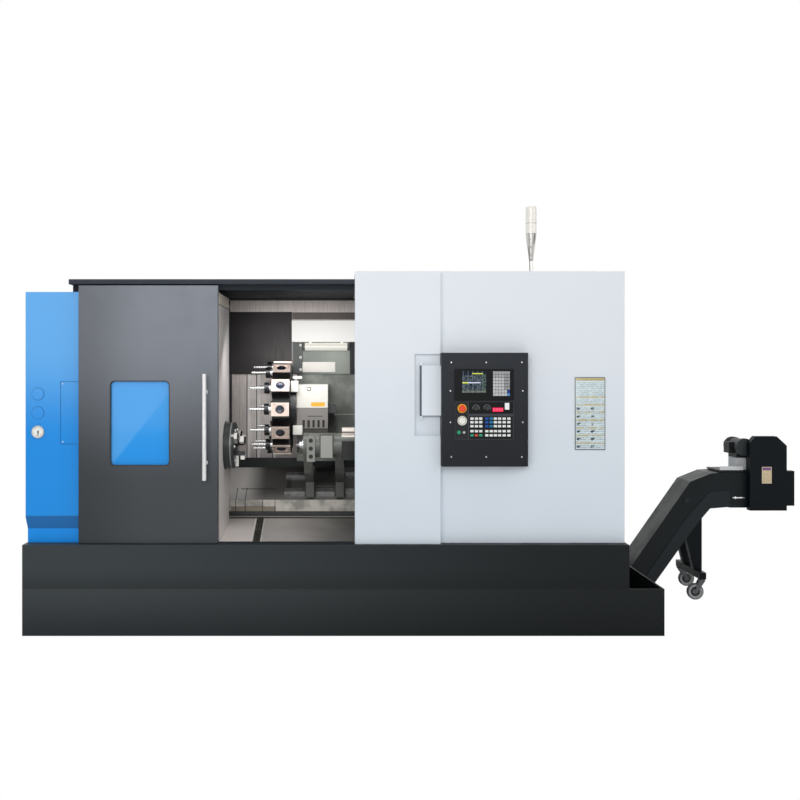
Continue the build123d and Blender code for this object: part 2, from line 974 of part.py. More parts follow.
def turret_bar(x0, x1, angle, inner, outer, width, mode=Mode.ADD):
    """A square bar that runs out from the turret axis."""
    outline(
        turret_plane(x0, angle),
        [(inner, -width / 2), (outer, -width / 2), (outer, width / 2), (inner, width / 2)],
        x1 - x0,
        mode,
    )


with BuildPart() as turret_disc:
    with BuildSketch(turret_plane(disc_left, 0)) as hub:
        RegularPolygon(disc_apothem, stations, major_radius=False, rotation=180 / stations)
    extrude(hub.sketch, amount=disc_right - disc_left)
    rod(turret_plane(disc_right, 0), (0, 0), flange_radius, flange_thickness)
    rod(turret_plane(disc_right + flange_thickness, 0), (0, 0), turret_shaft, turret_shaft_length)
    rod(turret_plane(disc_left - 10, 0), (0, 0), 95, 10)
    with BuildSketch(turret_plane(disc_left - 10, 0)) as screws:
        with PolarLocations(75, stations // 2):
            Circle(7)
    extrude(screws.sketch, amount=6, mode=Mode.SUBTRACT)
save(turret_disc.part, "turret_disc")

# Tool blocks: one on each flat of the disc, the one that faces the spindle bored for its live tool
block_bore_depth = 40
with BuildPart() as tool_blocks:
    for station in range(stations):
        angle = station * 360 / stations
        turret_bar(disc_left, disc_right, angle, disc_apothem, disc_apothem + block_height, block_width)
        turret_bar(
            disc_left + 20,
            disc_right - 20,
            angle,
            disc_apothem + block_height - 6,
            disc_apothem + block_height,
            block_width - 30,
            Mode.SUBTRACT,
        )
    rod(
        turret_plane(disc_left, tool_angle),
        (tool_circle, 0),
        shank_radius + running_gap,
        block_bore_depth,
        Mode.SUBTRACT,
    )
save(tool_blocks.part, "tool_blocks")


def tool(angle, shank_depth):
    """A drill in its collar and shank, parallel to the turret axis."""
    rod(turret_plane(disc_left - shank_show, angle), (tool_circle, 0), shank_radius, shank_show + shank_depth)
    rod(turret_plane(disc_left - shank_show - collar_length, angle), (tool_circle, 0), collar_radius, collar_length)
    rod(
        turret_plane(disc_left - shank_show - collar_length - drill_length, angle),
        (tool_circle, 0),
        drill_radius,
        drill_length,
    )


with BuildPart() as idle_tools:
    for station in range(stations):
        if station * 360 / stations != tool_angle:
            tool(station * 360 / stations, 0)
save(idle_tools.part, "idle_tools")

with BuildPart() as live_tool:
    tool(tool_angle, block_bore_depth - slide_gap)
save(live_tool.part, "live_tool")


def on_slide(x):
    """The plane at X = x in the slide's own directions, from the turret axis: along it, off it."""
    return Plane(origin=(x, turret_y, turret_z), x_dir=(0, cos(slant), sin(slant)), z_dir=(1, 0, 0))


def slide_point(along, off):
    """The Y and Z of a point given along and off the slide from the turret axis."""
    return (
        turret_y + along * cos(slant) - off * sin(slant),
        turret_z + along * sin(slant) + off * cos(slant),
    )


# Cross slide: the turret's head on a slanted plate
plate_start = -150
plate_end = 290
head_underside = -185
plate_underside = -235.6
rail_drop_below = -262
head_top = turret_z + 174
head_front = turret_y - 154
head_back = turret_y + 345
shoulder_y, shoulder_z = slide_point(plate_start, head_underside)
head_back_z = shoulder_z + (head_back - shoulder_y) * tan(slant)
with BuildPart() as cross_slide:
    outline(
        across(head_left),
        [
            (head_front, head_top),
            (head_front, shoulder_z + 90),
            (shoulder_y, shoulder_z),
            (head_back, head_back_z),
            (head_back, head_top),
        ],
        head_right - head_left,
    )
    chamfer(cross_slide.edges().filter_by(Axis.X).group_by(Axis.Z)[-1].sort_by(Axis.Y)[0], 12)
    outline(
        on_slide(head_left),
        [
            (plate_start, plate_underside),
            (plate_start, head_underside),
            (plate_end, head_underside),
            (plate_end, plate_underside),
        ],
        head_right - head_left + 44,
    )
    block(head_right, head_right + 60, turret_y - 20, turret_y + 90, turret_z - 40, turret_z + 20)
    for vent in range(5):
        vent_x = head_left + 42 + vent * 36
        block(vent_x, vent_x + 18, head_front, head_front + 12, shoulder_z + 96, shoulder_z + 150, Mode.SUBTRACT)
    rod(
        turret_plane(head_left, 0),
        (0, 0),
        turret_shaft + running_gap,
        disc_right + flange_thickness + turret_shaft_length + 1 - head_left,
        Mode.SUBTRACT,
    )
save(cross_slide.part, "cross_slide")

# Saddle: the cover plate, the carriage behind it and the wedge under the cross slide
saddle_left = -561
saddle_right = 180
wedge_left = -345
wedge_right = -60
wedge_bottom = 1060
wedge_front = -238
carriage_left = -500
carriage_right = -20
carriage_front = screen_y + 19
carriage_back = carriage_front + 50
carriage_bottom = 1110
carriage_top = 1660
shoe_length = 120
shoe_back = column_face - 10
wedge_slope_front = slide_point(0, rail_drop_below)
wedge_front_z = wedge_slope_front[1] + (wedge_front - wedge_slope_front[0]) * tan(slant)
wedge_back_z = wedge_slope_front[1] + (screen_y + screen - wedge_slope_front[0]) * tan(slant)
with BuildPart() as saddle:
    block(saddle_left, saddle_right, screen_y, screen_y + screen, screen_bottom, screen_top)
    block(wedge_left, wedge_right, screen_y + screen, carriage_front, carriage_bottom, carriage_top)
    block(carriage_left, carriage_right, carriage_front, carriage_back, carriage_bottom, carriage_top)
    outline(
        across(wedge_left),
        [
            (wedge_front, wedge_bottom),
            (wedge_front, wedge_front_z),
            (screen_y + screen, wedge_back_z),
            (screen_y + screen, wedge_bottom),
        ],
        wedge_right - wedge_left,
    )
    for rail_x in (wedge_left + 15, wedge_right - 55):
        outline(
            on_slide(rail_x),
            [
                (plate_start - 60, rail_drop_below - 6),
                (plate_start - 60, plate_underside - running_gap),
                (plate_end, plate_underside - running_gap),
                (plate_end, rail_drop_below - 6),
            ],
            40,
        )
    for rail_bottom in (lower_rail, upper_rail):
        for shoe_left in (carriage_left + 10, carriage_right - 10 - shoe_length):
            block(
                shoe_left,
                shoe_left + shoe_length,
                carriage_back,
                shoe_back,
                rail_bottom - 20,
                rail_bottom + rail_width + 20,
            )
            block(
                shoe_left,
                shoe_left + shoe_length,
                column_face - rail_height - slide_gap,
                shoe_back,
                rail_bottom - slide_gap,
                rail_bottom + rail_width + slide_gap,
                Mode.SUBTRACT,
            )
save(saddle.part, "saddle")

# Sliding screens that close the opening left of the saddle
screen_two_left = -685
screen_two_right = -385
screen_one_left = -761
screen_one_right = -505
with BuildPart() as cover_sheet_2:
    block(
        screen_two_left,
        screen_two_right,
        screen_y + screen_pitch,
        screen_y + screen_pitch + screen,
        screen_bottom,
        screen_top,
    )
save(cover_sheet_2.part, "cover_sheet_2")

with BuildPart() as cover_sheet_1:
    block(
        screen_one_left,
        screen_one_right,
        screen_y + 2 * screen_pitch,
        screen_y + 2 * screen_pitch + screen,
        screen_bottom,
        screen_top,
    )
save(cover_sheet_1.part, "cover_sheet_1")

# Tailstock: the quill housing on two ribs that stand on shoes over the slope's rails
tail_left = -277
tail_right = 77
tail_radius = 85
quill_radius = 40
rib_width = 60
rib_right_left = -57
shoe_start = 40
shoe_end = 385
shoe_height = 40
flange_depth = 100
with BuildPart() as tailstock_body:
    rod(across(tail_left), (spindle_y, spindle_z), tail_radius, tail_right - tail_left)
    for rib_left in (tail_left, rib_right_left):
        outline(
            across(rib_left),
            [
                (cover_front - 19, slope_height(cover_front - 19) + 30),
                (cover_front - 19, 905),
                (-520, 1000),
                (spindle_y - 60, spindle_z - 60),
                (spindle_y + 60, spindle_z - 57),
                (-100, slope_height(-100) + shoe_height / cos(slope_angle)),
                (-100, slope_height(-100) + 1),
            ],
            rib_width,
        )
        outline(
            on_slope(rib_left - 10),
            [
                (shoe_start, slide_gap),
                (shoe_start, shoe_height),
                (shoe_end, shoe_height),
                (shoe_end, slide_gap),
            ],
            rib_width + 20,
        )
        block(rib_left, rib_left + rib_width, cover_front - 30, cover_front + 10, 961, 987)
        block(rib_left, rib_left + rib_width, cover_front - 30, cover_front + 10, 994, 1020)
        block(rib_left + 10, rib_left + rib_width - 10, cover_front - 24, cover_front + 8, 880, 1010)
    outline(
        on_slope(tail_left),
        [
            (shoe_start + 90, 3),
            (shoe_start + 90, shoe_height - 8),
            (shoe_end - 60, shoe_height - 8),
            (shoe_end - 60, 3),
        ],
        rib_right_left - tail_left,
    )
    block(tail_left + 25, tail_left + 82, spindle_y - flange_depth, spindle_y, 1100, 1280)
    fillet(
        tailstock_body.edges().filter_by(Axis.Y).group_by(Axis.Y)[0],
        22,
    )
    for screw_z in (1135, 1190, 1245):
        rod(facing(spindle_y - flange_depth + 8), (tail_left + 53, screw_z), 10, 8, Mode.SUBTRACT)
    block(-163, -69, spindle_y - flange_depth + 8, spindle_y, 1119, 1287)
    rod(across(-10), (spindle_y - 20, spindle_z + 93), 31, tail_right + 10)
    block(-10, tail_right, spindle_y - flange_depth + 4, spindle_y, 1110, 1240)
    for place in tail_rails:
        outline(
            on_slope(tail_left - 20),
            [
                (place - slide_gap, 0),
                (place + rail_width + slide_gap, 0),
                (place + rail_width + slide_gap, tail_rail_top + slide_gap),
                (place - slide_gap, tail_rail_top + slide_gap),
            ],
            rib_right_left + rib_width + 20 - tail_left + 20,
            Mode.SUBTRACT,
        )
    rod(
        across(tail_left),
        (spindle_y, spindle_z),
        quill_radius + running_gap,
        tail_right - tail_left,
        Mode.SUBTRACT,
    )
save(tailstock_body.part, "tailstock_body")

quill_show = 12
quill_length = 300
socket_radius = 15
socket_depth = 50
with BuildPart() as tailstock_quill:
    rod(across(tail_left - quill_show), (spindle_y, spindle_z), quill_radius, quill_length)
    chamfer(tailstock_quill.edges().filter_by(GeomType.CIRCLE).sort_by(Axis.X)[0], 3)
    rod(
        across(tail_left - quill_show),
        (spindle_y, spindle_z),
        socket_radius + running_gap,
        socket_depth,
        Mode.SUBTRACT,
    )
save(tailstock_quill.part, "tailstock_quill")

center_radius = 26
center_body = 15
center_tip = 30
with BuildPart() as live_center:
    center_back = tail_left - quill_show - running_gap
    rod(across(center_back), (spindle_y, spindle_z), socket_radius, socket_depth - slide_gap)
    rod(across(center_back - center_body), (spindle_y, spindle_z), center_radius, center_body)
    with BuildSketch(across(center_back - center_body)) as cone_foot:
        with Locations((spindle_y, spindle_z)):
            Circle(center_radius - 6)
    with BuildSketch(across(center_back - center_body - center_tip)) as cone_tip:
        with Locations((spindle_y, spindle_z)):
            Circle(1.5)
    loft([cone_foot.sketch.face(), cone_tip.sketch.face()])
save(live_center.part, "live_center")

# Control panel: a swinging box on a flat arm, with a display unit and an operator's board
box_left = 639
box_width = 565
box_front = -1065
box_back = -975
box_bottom = 1102
box_height = 739
board_left = 721
board_right = 1104.5
board_bottom = 1277
board_top = 1524
board_rise = 6
display_bottom = 1532
display_top = 1735
board_front = box_front - board_rise
stop_x = 769
stop_z = 1480
stop_radius = 22
stop_stem = 8
wheel_x = 769
wheel_z = 1401
wheel_radius = 32
wheel_stem = 6
start_x = 748
start_z = 1325
start_radius = 13
key_x = 781
key_z = 1325
key_radius = 8
dial_z = 1482
feed_x = 860
spindle_x = 932
dial_radius = 15
dial_stem = 4
hole_depth = 14
with BuildPart() as control_box:
    block(box_left, box_left + box_width, box_front, box_back, box_bottom, box_bottom + box_height)
    right_edges = control_box.edges().filter_by(Axis.Z).group_by(Axis.X)[-1]
    fillet(right_edges.sort_by(Axis.Y)[0], 28)
    fillet(control_box.edges().filter_by(Axis.Z).group_by(Axis.X)[0].sort_by(Axis.Y)[0], 6)
    for hole_x, hole_z, hole_radius in (
        (stop_x, stop_z, stop_stem),
        (wheel_x, wheel_z, wheel_stem),
        (start_x, start_z, start_radius),
        (key_x, key_z, key_radius),
        (feed_x, dial_z, dial_stem),
        (spindle_x, dial_z, dial_stem),
    ):
        rod(
            facing(box_front + hole_depth),
            (hole_x, hole_z),
            hole_radius + running_gap,
            hole_depth,
            Mode.SUBTRACT,
        )
    for screw_x in (box_left + 61, box_left + 287, box_left + 518):
        for screw_z in (box_bottom + 64, box_bottom + 677):
            rod(facing(box_front), (screw_x, screw_z), 5, 2)
    for screw_z in (box_bottom + 288, box_bottom + 492):
        for screw_x in (box_left + 55, box_left + 524):
            rod(facing(box_front), (screw_x, screw_z), 5, 2)
save(control_box.part, "control_box")

with BuildPart() as panel_arm:
    block(arm_x, box_left, arm_back - arm_thickness, arm_back, arm_bottom, arm_top)
    rod(level(arm_bottom), (arm_x, arm_y), barrel_radius, arm_top - arm_bottom)
    rod(
        level(arm_bottom),
        (arm_x, arm_y),
        hinge_pin + running_gap,
        arm_top - arm_bottom,
        Mode.SUBTRACT,
    )
save(panel_arm.part, "panel_arm")

# Display unit: a bezel with a sunken screen and a raised keypad
with BuildPart() as display_unit:
    block(board_left, board_right, board_front, box_front, display_bottom, display_top)
    fillet(display_unit.edges().filter_by(Axis.Y), 3)
    block(769, 926, board_front, board_front + 2, 1581, 1722, Mode.SUBTRACT)
    for column in range(6):
        for row in range(8):
            key_left = 970 + column * 18.4
            key_bottom = 1561 + row * 20.2
            block(key_left, key_left + 16.4, board_front - 1.5, board_front, key_bottom, key_bottom + 17.8)
save(display_unit.part, "display_unit")

# Operator's board with its rows of keys and the holes for the controls
key_columns = (833, 862, 890, 929, 958, 985, 1012, 1042, 1072)
key_rows = (1306, 1333, 1365, 1391, 1414)
key_size_x = 21
key_size_z = 15
with BuildPart() as operator_board:
    block(board_left, board_right, board_front, box_front, board_bottom, board_top)
    fillet(operator_board.edges().filter_by(Axis.Y), 6)
    for column_x in key_columns:
        for row_z in key_rows:
            block(
                column_x - key_size_x / 2,
                column_x + key_size_x / 2,
                board_front - 2,
                board_front,
                row_z - key_size_z / 2,
                row_z + key_size_z / 2,
            )
    block(967, 1035, board_front - 2, board_front, 1459, 1485)
    block(1045, 1073, board_front - 12, board_front, 1473, 1516)
    block(809, 811, board_front - 1, board_front, board_bottom + 8, board_top - 8)
    rod(facing(board_front), (stop_x, stop_z), 29, 6)
    rod(facing(board_front), (key_x, key_z), 14, 5)
    for hole_x, hole_z, hole_radius in (
        (stop_x, stop_z, stop_stem),
        (wheel_x, wheel_z, wheel_stem),
        (start_x, start_z, start_radius),
        (key_x, key_z, key_radius),
        (feed_x, dial_z, dial_stem),
        (spindle_x, dial_z, dial_stem),
    ):
        rod(
            facing(box_front),
            (hole_x, hole_z),
            hole_radius + running_gap,
            board_rise + 12,
            Mode.SUBTRACT,
        )
save(operator_board.part, "operator_board")

stem_back = box_front + hole_depth - 8
with BuildPart() as emergency_stop:
    rod(facing(stem_back), (stop_x, stop_z), stop_stem, stem_back - board_front + 14)
    rod(facing(board_front - 13), (stop_x, stop_z), stop_radius, 16)
    fillet(emergency_stop.edges().filter_by(GeomType.CIRCLE).sort_by(Axis.Y)[0], 6)
save(emergency_stop.part, "emergency_stop")

with BuildPart() as handwheel:
    rod(facing(stem_back), (wheel_x, wheel_z), wheel_stem, stem_back - board_front + 2)
    rod(facing(board_front - 1), (wheel_x, wheel_z), wheel_radius, 12)
    fillet(handwheel.edges().filter_by(GeomType.CIRCLE).sort_by(Axis.Y)[0], 3)
    rod(facing(board_front - 13), (wheel_x, wheel_z), wheel_radius - 8, 2, Mode.SUBTRACT)
    rod(facing(board_front - 11), (wheel_x + 14, wheel_z + 12), 6, 16)
save(handwheel.part, "handwheel")

with BuildPart() as start_button:
    rod(facing(stem_back), (start_x, start_z), start_radius, stem_back - board_front + 9)
    fillet(start_button.edges().filter_by(GeomType.CIRCLE).sort_by(Axis.Y)[0], 2)
save(start_button.part, "start_button")

with BuildPart() as key_switch:
    rod(facing(stem_back), (key_x, key_z), key_radius, stem_back - board_front + 8)
    block(key_x - 2, key_x + 2, board_front - 26, board_front - 8, key_z - 7, key_z + 7)
save(key_switch.part, "key_switch")


def dial(x):
    """A skirted knob with a pointer bar, on a stem in the board."""
    rod(facing(stem_back), (x, dial_z), dial_stem, stem_back - board_front + 2)
    rod(facing(board_front - 1), (x, dial_z), dial_radius, 4)
    rod(facing(board_front - 5), (x, dial_z), dial_radius - 4, 12)
    block(x - 2.5, x + 2.5, board_front - 19, board_front - 5, dial_z - 11, dial_z + 13)


with BuildPart() as feed_dial:
    dial(feed_x)
save(feed_dial.part, "feed_dial")

with BuildPart() as spindle_dial:
    dial(spindle_x)
save(spindle_dial.part, "spindle_dial")

# Chip conveyor casing: a trough in the tank, a steep rise and a level head
rise_x = 427
rise_foot_x = 2311
head_z = tank_wall + conveyor_rise + 70
head_right_x = 3340
head_height = 250
shaft_x = 3215
shaft_z = head_z + 128
shaft_radius = 15
casing_points = [
    (conveyor_start, tank_wall),
    (rise_foot_x, tank_wall),
    (rise_foot_x + rise_x, tank_wall + conveyor_rise),
    (rise_foot_x + rise_x + 97, tank_wall + conveyor_rise + 107),
    (rise_foot_x + rise_x + 209, head_z),
    (head_right_x, head_z),
    (head_right_x, head_z + head_height),
    (rise_foot_x + rise_x + 209, head_z + head_height + 21),
    (rise_foot_x + rise_x + 70, head_z + head_height + 12),
    (rise_foot_x + rise_x - 90, head_z + head_height - 52),
    (rise_foot_x - 115, conveyor_trough_top),
    (conveyor_start, conveyor_trough_top),
]
outlet_left = 3120
outlet_right = 3326
with BuildPart() as conveyor_casing:
    outline(facing(conveyor_back), casing_points, conveyor_width)
    with BuildSketch(facing(conveyor_back - conveyor_wall)) as hollow:
        with BuildLine():
            Polyline(*casing_points, close=True)
        make_face()
        offset(amount=-conveyor_wall, kind=Kind.INTERSECTION, mode=Mode.REPLACE)
    extrude(hollow.sketch, amount=conveyor_width - 2 * conveyor_wall, mode=Mode.SUBTRACT)
    block(
        conveyor_start + 10,
        slot_right,
        conveyor_front + conveyor_wall,
        conveyor_back - conveyor_wall,
        conveyor_trough_top - conveyor_wall,
        conveyor_trough_top,
        Mode.SUBTRACT,
    )
    block(
        outlet_left,
        outlet_right,
        conveyor_front + conveyor_wall,
        conveyor_back - conveyor_wall,
        head_z,
        head_z + conveyor_wall,
        Mode.SUBTRACT,
    )
    rod(facing(conveyor_back), (shaft_x, shaft_z), shaft_radius + running_gap, conveyor_width, Mode.SUBTRACT)
    outline(
        facing(conveyor_front),
        [
            (rise_foot_x - 20, tank_wall + 120),
            (rise_foot_x + 30, tank_wall + 45),
            (rise_foot_x + rise_x - 40, tank_wall + conveyor_rise - 52),
            (rise_foot_x + rise_x + 60, tank_wall + conveyor_rise + 64),
            (rise_foot_x + rise_x + 209, head_z + 6),
            (rise_foot_x + rise_x + 209, head_z + 130),
            (rise_foot_x + rise_x + 50, head_z + 116),
            (rise_foot_x + rise_x - 140, tank_wall + conveyor_rise - 30),
        ],
        5,
    )
    rod(facing(conveyor_front), (rise_foot_x + rise_x - 120, head_z + 55), 22, 8)
save(conveyor_casing.part, "conveyor_casing")

# Conveyor belt: a hinged-plate loop with flights, which lies in the casing and lifts over the outlet
belt_gap = 0.3
belt_thickness = 10
belt_lift = 30
sprocket_radius = 74
belt_end = shaft_x + sprocket_radius + 2 * belt_thickness + conveyor_wall
belt_points = casing_points[:5] + [
    (outlet_left - 60, head_z),
    (outlet_left - 20, head_z + belt_lift),
    (belt_end, head_z + belt_lift),
    (belt_end, head_z + head_height - belt_lift / 2),
    (outlet_left - 20, head_z + head_height + 9),
] + casing_points[7:]
with BuildPart() as conveyor_belt:
    with BuildSketch(facing(conveyor_back - conveyor_wall - belt_gap)) as loop:
        with BuildLine():
            Polyline(*belt_points, close=True)
        make_face()
        offset(amount=-conveyor_wall - belt_gap, kind=Kind.INTERSECTION, mode=Mode.REPLACE)
    extrude(loop.sketch, amount=conveyor_width - 2 * conveyor_wall - 2 * belt_gap)
    with BuildSketch(facing(conveyor_back - conveyor_wall - belt_gap)) as core:
        with BuildLine():
            Polyline(*belt_points, close=True)
        make_face()
        offset(amount=-conveyor_wall - belt_gap - belt_thickness, kind=Kind.INTERSECTION, mode=Mode.REPLACE)
    extrude(core.sketch, amount=conveyor_width - 2 * conveyor_wall - 2 * belt_gap, mode=Mode.SUBTRACT)
    for flight in range(8):
        flight_x = conveyor_start + 200 + flight * 330
        block(
            flight_x,
            flight_x + 6,
            conveyor_front + conveyor_wall + belt_gap + 20,
            conveyor_back - conveyor_wall - belt_gap - 20,
            conveyor_trough_top - conveyor_wall - belt_gap - belt_thickness - 40,
            conveyor_trough_top - conveyor_wall - belt_gap - belt_thickness,
        )
save(conveyor_belt.part, "conveyor_belt")

# Conveyor head shaft with two sprockets inside the belt and one in the drive guard
guard_depth = 60
guard_sheet = 4
with BuildPart() as conveyor_head_shaft:
    rod(facing(conveyor_back + 18), (shaft_x, shaft_z), shaft_radius, conveyor_width + 18 + guard_depth - 12)
    for sprocket_y in (conveyor_front + 50, conveyor_back - 66):
        rod(facing(sprocket_y + 16), (shaft_x, shaft_z), sprocket_radius, 16)
    rod(facing(conveyor_front - 24), (shaft_x, shaft_z), 62, 10)
save(conveyor_head_shaft.part, "conveyor_head_shaft")

# Drive guard: a chamfered box on the front of the conveyor's head
guard_x = 3078
guard_bottom = head_z - 14
guard_height = 562
guard_width = 279
with BuildPart() as conveyor_drive_guard:
    outline(
        facing(conveyor_front),
        [
            (guard_x, guard_bottom),
            (guard_x + guard_width, guard_bottom),
            (guard_x + guard_width, guard_bottom + guard_height - 70),
            (guard_x + guard_width - 76, guard_bottom + guard_height),
            (guard_x + 41, guard_bottom + guard_height),
            (guard_x, guard_bottom + guard_height - 48),
        ],
        guard_depth,
    )
    block(
        guard_x + guard_width,
        guard_x + guard_width + 57,
        conveyor_front - guard_depth,
        conveyor_front,
        guard_bottom + 37,
        guard_bottom + 300,
    )
    block(
        guard_x + guard_sheet,
        guard_x + guard_width - guard_sheet,
        conveyor_front - guard_depth + guard_sheet,
        conveyor_front - guard_sheet,
        guard_bottom + guard_sheet,
        guard_bottom + guard_height - 80,
        Mode.SUBTRACT,
    )
    rod(facing(conveyor_front), (shaft_x, shaft_z), shaft_radius + running_gap, guard_sheet, Mode.SUBTRACT)
save(conveyor_drive_guard.part, "conveyor_drive_guard")

# Gearmotor on its shelf behind the guard
motor_x = 3066
motor_z = 1140
motor_radius = 62
shelf_z = head_z + head_height + 22
shelf_left = 2879
with BuildPart() as conveyor_gearmotor:
    block(shelf_left, guard_x + 40, conveyor_front + 10, conveyor_back - 10, shelf_z, shelf_z + 12)
    block(shelf_left, guard_x - 20, conveyor_front + 10, conveyor_front + 18, shelf_z, shelf_z + 42)
    outline(
        facing(conveyor_back - 20),
        [
            (rise_foot_x + rise_x + 219, shelf_z),
            (rise_foot_x + rise_x + 219, head_z + head_height + 20.5),
            (guard_x + 40, head_z + head_height + 21 - 21 * (guard_x + 40 - 2947) / 393),
            (guard_x + 40, shelf_z),
        ],
        conveyor_width - 40,
    )
    rod(facing(conveyor_back - 30), (motor_x, motor_z), motor_radius, conveyor_width - 60)
    rod(facing(conveyor_front + 30), (motor_x, motor_z), motor_radius + 6, 30)
    block(motor_x - 90, motor_x - 20, conveyor_front + 80, conveyor_front + 180, 1090, 1176)
    block(motor_x - 40, motor_x + 46, conveyor_front + 60, conveyor_back - 70, shelf_z, motor_z)
    for fin in range(7):
        fin_y = conveyor_front + 190 + fin * 8
        rod(facing(fin_y + 3), (motor_x, motor_z), motor_radius + 5, 3)
save(conveyor_gearmotor.part, "conveyor_gearmotor")

# Conveyor stand: two posts cut to the slope of the casing and a cross beam for the casters
post_right_x = 2740
post_width_x = 50
beam_left = 2677
beam_width = 50
beam_front = -110
beam_back = 390
beam_bottom = 156
beam_height = 50
rise_slope = conveyor_rise / rise_x
rise_end_x = rise_foot_x + rise_x
caster_x = 2702
caster_places = {"front": (-81, -1), "rear": (366, 1)}
caster_radius = 61
caster_trail = 49
caster_width = 30
axle_radius = 6
stem_radius = 8
with BuildPart() as conveyor_stand:
    block(beam_left, beam_left + beam_width, beam_front, beam_back, beam_bottom, beam_bottom + beam_height)
    for post_front in (conveyor_front + 10, conveyor_back - 60):
        outline(
            facing(post_front + 50),
            [
                (post_right_x - post_width_x - 70, tank_wall + conveyor_rise - (rise_end_x - post_right_x + post_width_x + 70) * rise_slope),
                (rise_end_x, tank_wall + conveyor_rise),
                (post_right_x, tank_wall + conveyor_rise + (post_right_x - rise_end_x) * 107 / 97),
                (post_right_x, beam_bottom),
                (post_right_x - post_width_x, beam_bottom),
            ],
            50,
        )
    for caster_y, caster_side in caster_places.values():
        rod(level(beam_bottom), (caster_x, caster_y), stem_radius + running_gap, 40, Mode.SUBTRACT)
save(conveyor_stand.part, "conveyor_stand")

# Swivel casters: fork and wheel at each end of the beam
for caster_name, (caster_y, caster_side) in caster_places.items():
    wheel_centre_x = caster_x + caster_side * caster_trail
    with BuildPart() as caster_fork:
        rod(level(beam_bottom - slide_gap - 9), (caster_x, caster_y), 26, 9)
        rod(level(beam_bottom - slide_gap - 9), (caster_x, caster_y), stem_radius, 45)
        for side in (-1, 1):
            inner = caster_width / 2 + 3
            cheek_y0 = caster_y + side * inner
            cheek_y1 = caster_y + side * (inner + 5)
            outline(
                facing(max(cheek_y0, cheek_y1)),
                [
                    (caster_x - 22, beam_bottom - slide_gap - 9),
                    (caster_x + 22, beam_bottom - slide_gap - 9),
                    (wheel_centre_x + 14, caster_radius),
                    (wheel_centre_x + 8, caster_radius - 12),
                    (wheel_centre_x - 8, caster_radius - 12),
                    (wheel_centre_x - 14, caster_radius),
                ],
                5,
            )
        block(
            caster_x - 22,
            caster_x + 22,
            caster_y - caster_width / 2 - 8,
            caster_y + caster_width / 2 + 8,
            beam_bottom - slide_gap - 15,
            beam_bottom - slide_gap - 9,
        )
        rod(
            facing(caster_y + caster_width / 2 + 11),
            (wheel_centre_x, caster_radius),
            axle_radius,
            caster_width + 22,
        )
    save(caster_fork.part, "caster_fork_" + caster_name)
    with BuildPart() as caster_wheel:
        rod(facing(caster_y + caster_width / 2), (wheel_centre_x, caster_radius), caster_radius, caster_width)
        fillet(caster_wheel.edges().filter_by(GeomType.CIRCLE), 5)
        for face_y in (caster_y + caster_width / 2, caster_y - caster_width / 2 + 6):
            rod(facing(face_y), (wheel_centre_x, caster_radius), caster_radius - 16, 6, Mode.SUBTRACT)
        rod(facing(caster_y + caster_width / 2), (wheel_centre_x, caster_radius), 14, caster_width)
        rod(
            facing(caster_y + caster_width / 2),
            (wheel_centre_x, caster_radius),
            axle_radius + running_gap,
            caster_width,
            Mode.SUBTRACT,
        )
    save(caster_wheel.part, "caster_wheel_" + caster_name)
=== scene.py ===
# %% [markdown]
# # Dressing a turning lathe
# The machine's solids come from a packed CAD model and stay where they are. This file gives each of
# them a finish, adds the small things that a CAD model leaves out, and sets up the light and camera.
# Lengths are in metres: X runs right along the spindle, Y runs to the back and Z is up. The solids
# could be traced again by hand, but using them as they are keeps the looks and the motion in step.

import math

import bpy
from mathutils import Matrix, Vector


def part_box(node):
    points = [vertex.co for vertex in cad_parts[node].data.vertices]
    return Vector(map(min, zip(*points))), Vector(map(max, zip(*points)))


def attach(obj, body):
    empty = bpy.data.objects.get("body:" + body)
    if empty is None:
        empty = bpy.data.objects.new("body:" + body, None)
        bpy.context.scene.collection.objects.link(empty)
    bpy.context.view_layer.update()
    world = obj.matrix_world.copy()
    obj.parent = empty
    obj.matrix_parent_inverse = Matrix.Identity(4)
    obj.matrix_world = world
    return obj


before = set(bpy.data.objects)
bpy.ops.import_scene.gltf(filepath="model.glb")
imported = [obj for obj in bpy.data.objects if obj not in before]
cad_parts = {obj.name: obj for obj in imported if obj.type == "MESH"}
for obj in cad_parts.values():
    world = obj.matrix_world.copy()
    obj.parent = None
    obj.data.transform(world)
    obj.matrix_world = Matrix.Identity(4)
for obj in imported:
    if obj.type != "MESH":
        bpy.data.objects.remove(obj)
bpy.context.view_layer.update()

# %% [markdown]
# ## Shader sums in plain Python
# A procedural material is a graph of nodes. Each Math node could be added by hand, but that hides the
# idea behind the plumbing. One small class wraps a socket instead and lets us write `1 - mask * 0.4`.


# %% A socket that can be used in sums
class Wire:
    """One output of a node. A sum on it adds a Math node to the same tree."""

    def __init__(self, nodes, socket):
        self.nodes = nodes
        self.socket = socket

    def sum(self, operation, first, second):
        return self.nodes.node("ShaderNodeMath", {"operation": operation}, {0: first, 1: second})

    def __add__(self, other):
        return self.sum("ADD", self, other)

    def __radd__(self, other):
        return self.sum("ADD", other, self)

    def __sub__(self, other):
        return self.sum("SUBTRACT", self, other)

    def __rsub__(self, other):
        return self.sum("SUBTRACT", other, self)

    def __mul__(self, other):
        return self.sum("MULTIPLY", self, other)

    def __rmul__(self, other):
        return self.sum("MULTIPLY", other, self)

    def __truediv__(self, other):
        return self.sum("DIVIDE", self, other)

    def __rtruediv__(self, other):
        return self.sum("DIVIDE", other, self)

    def __gt__(self, other):
        return self.sum("GREATER_THAN", self, other)

    def __lt__(self, other):
        return self.sum("LESS_THAN", self, other)

    def __mod__(self, other):
        return self.sum("FLOORED_MODULO", self, other)


print("a wire understands + - * / % < and >")

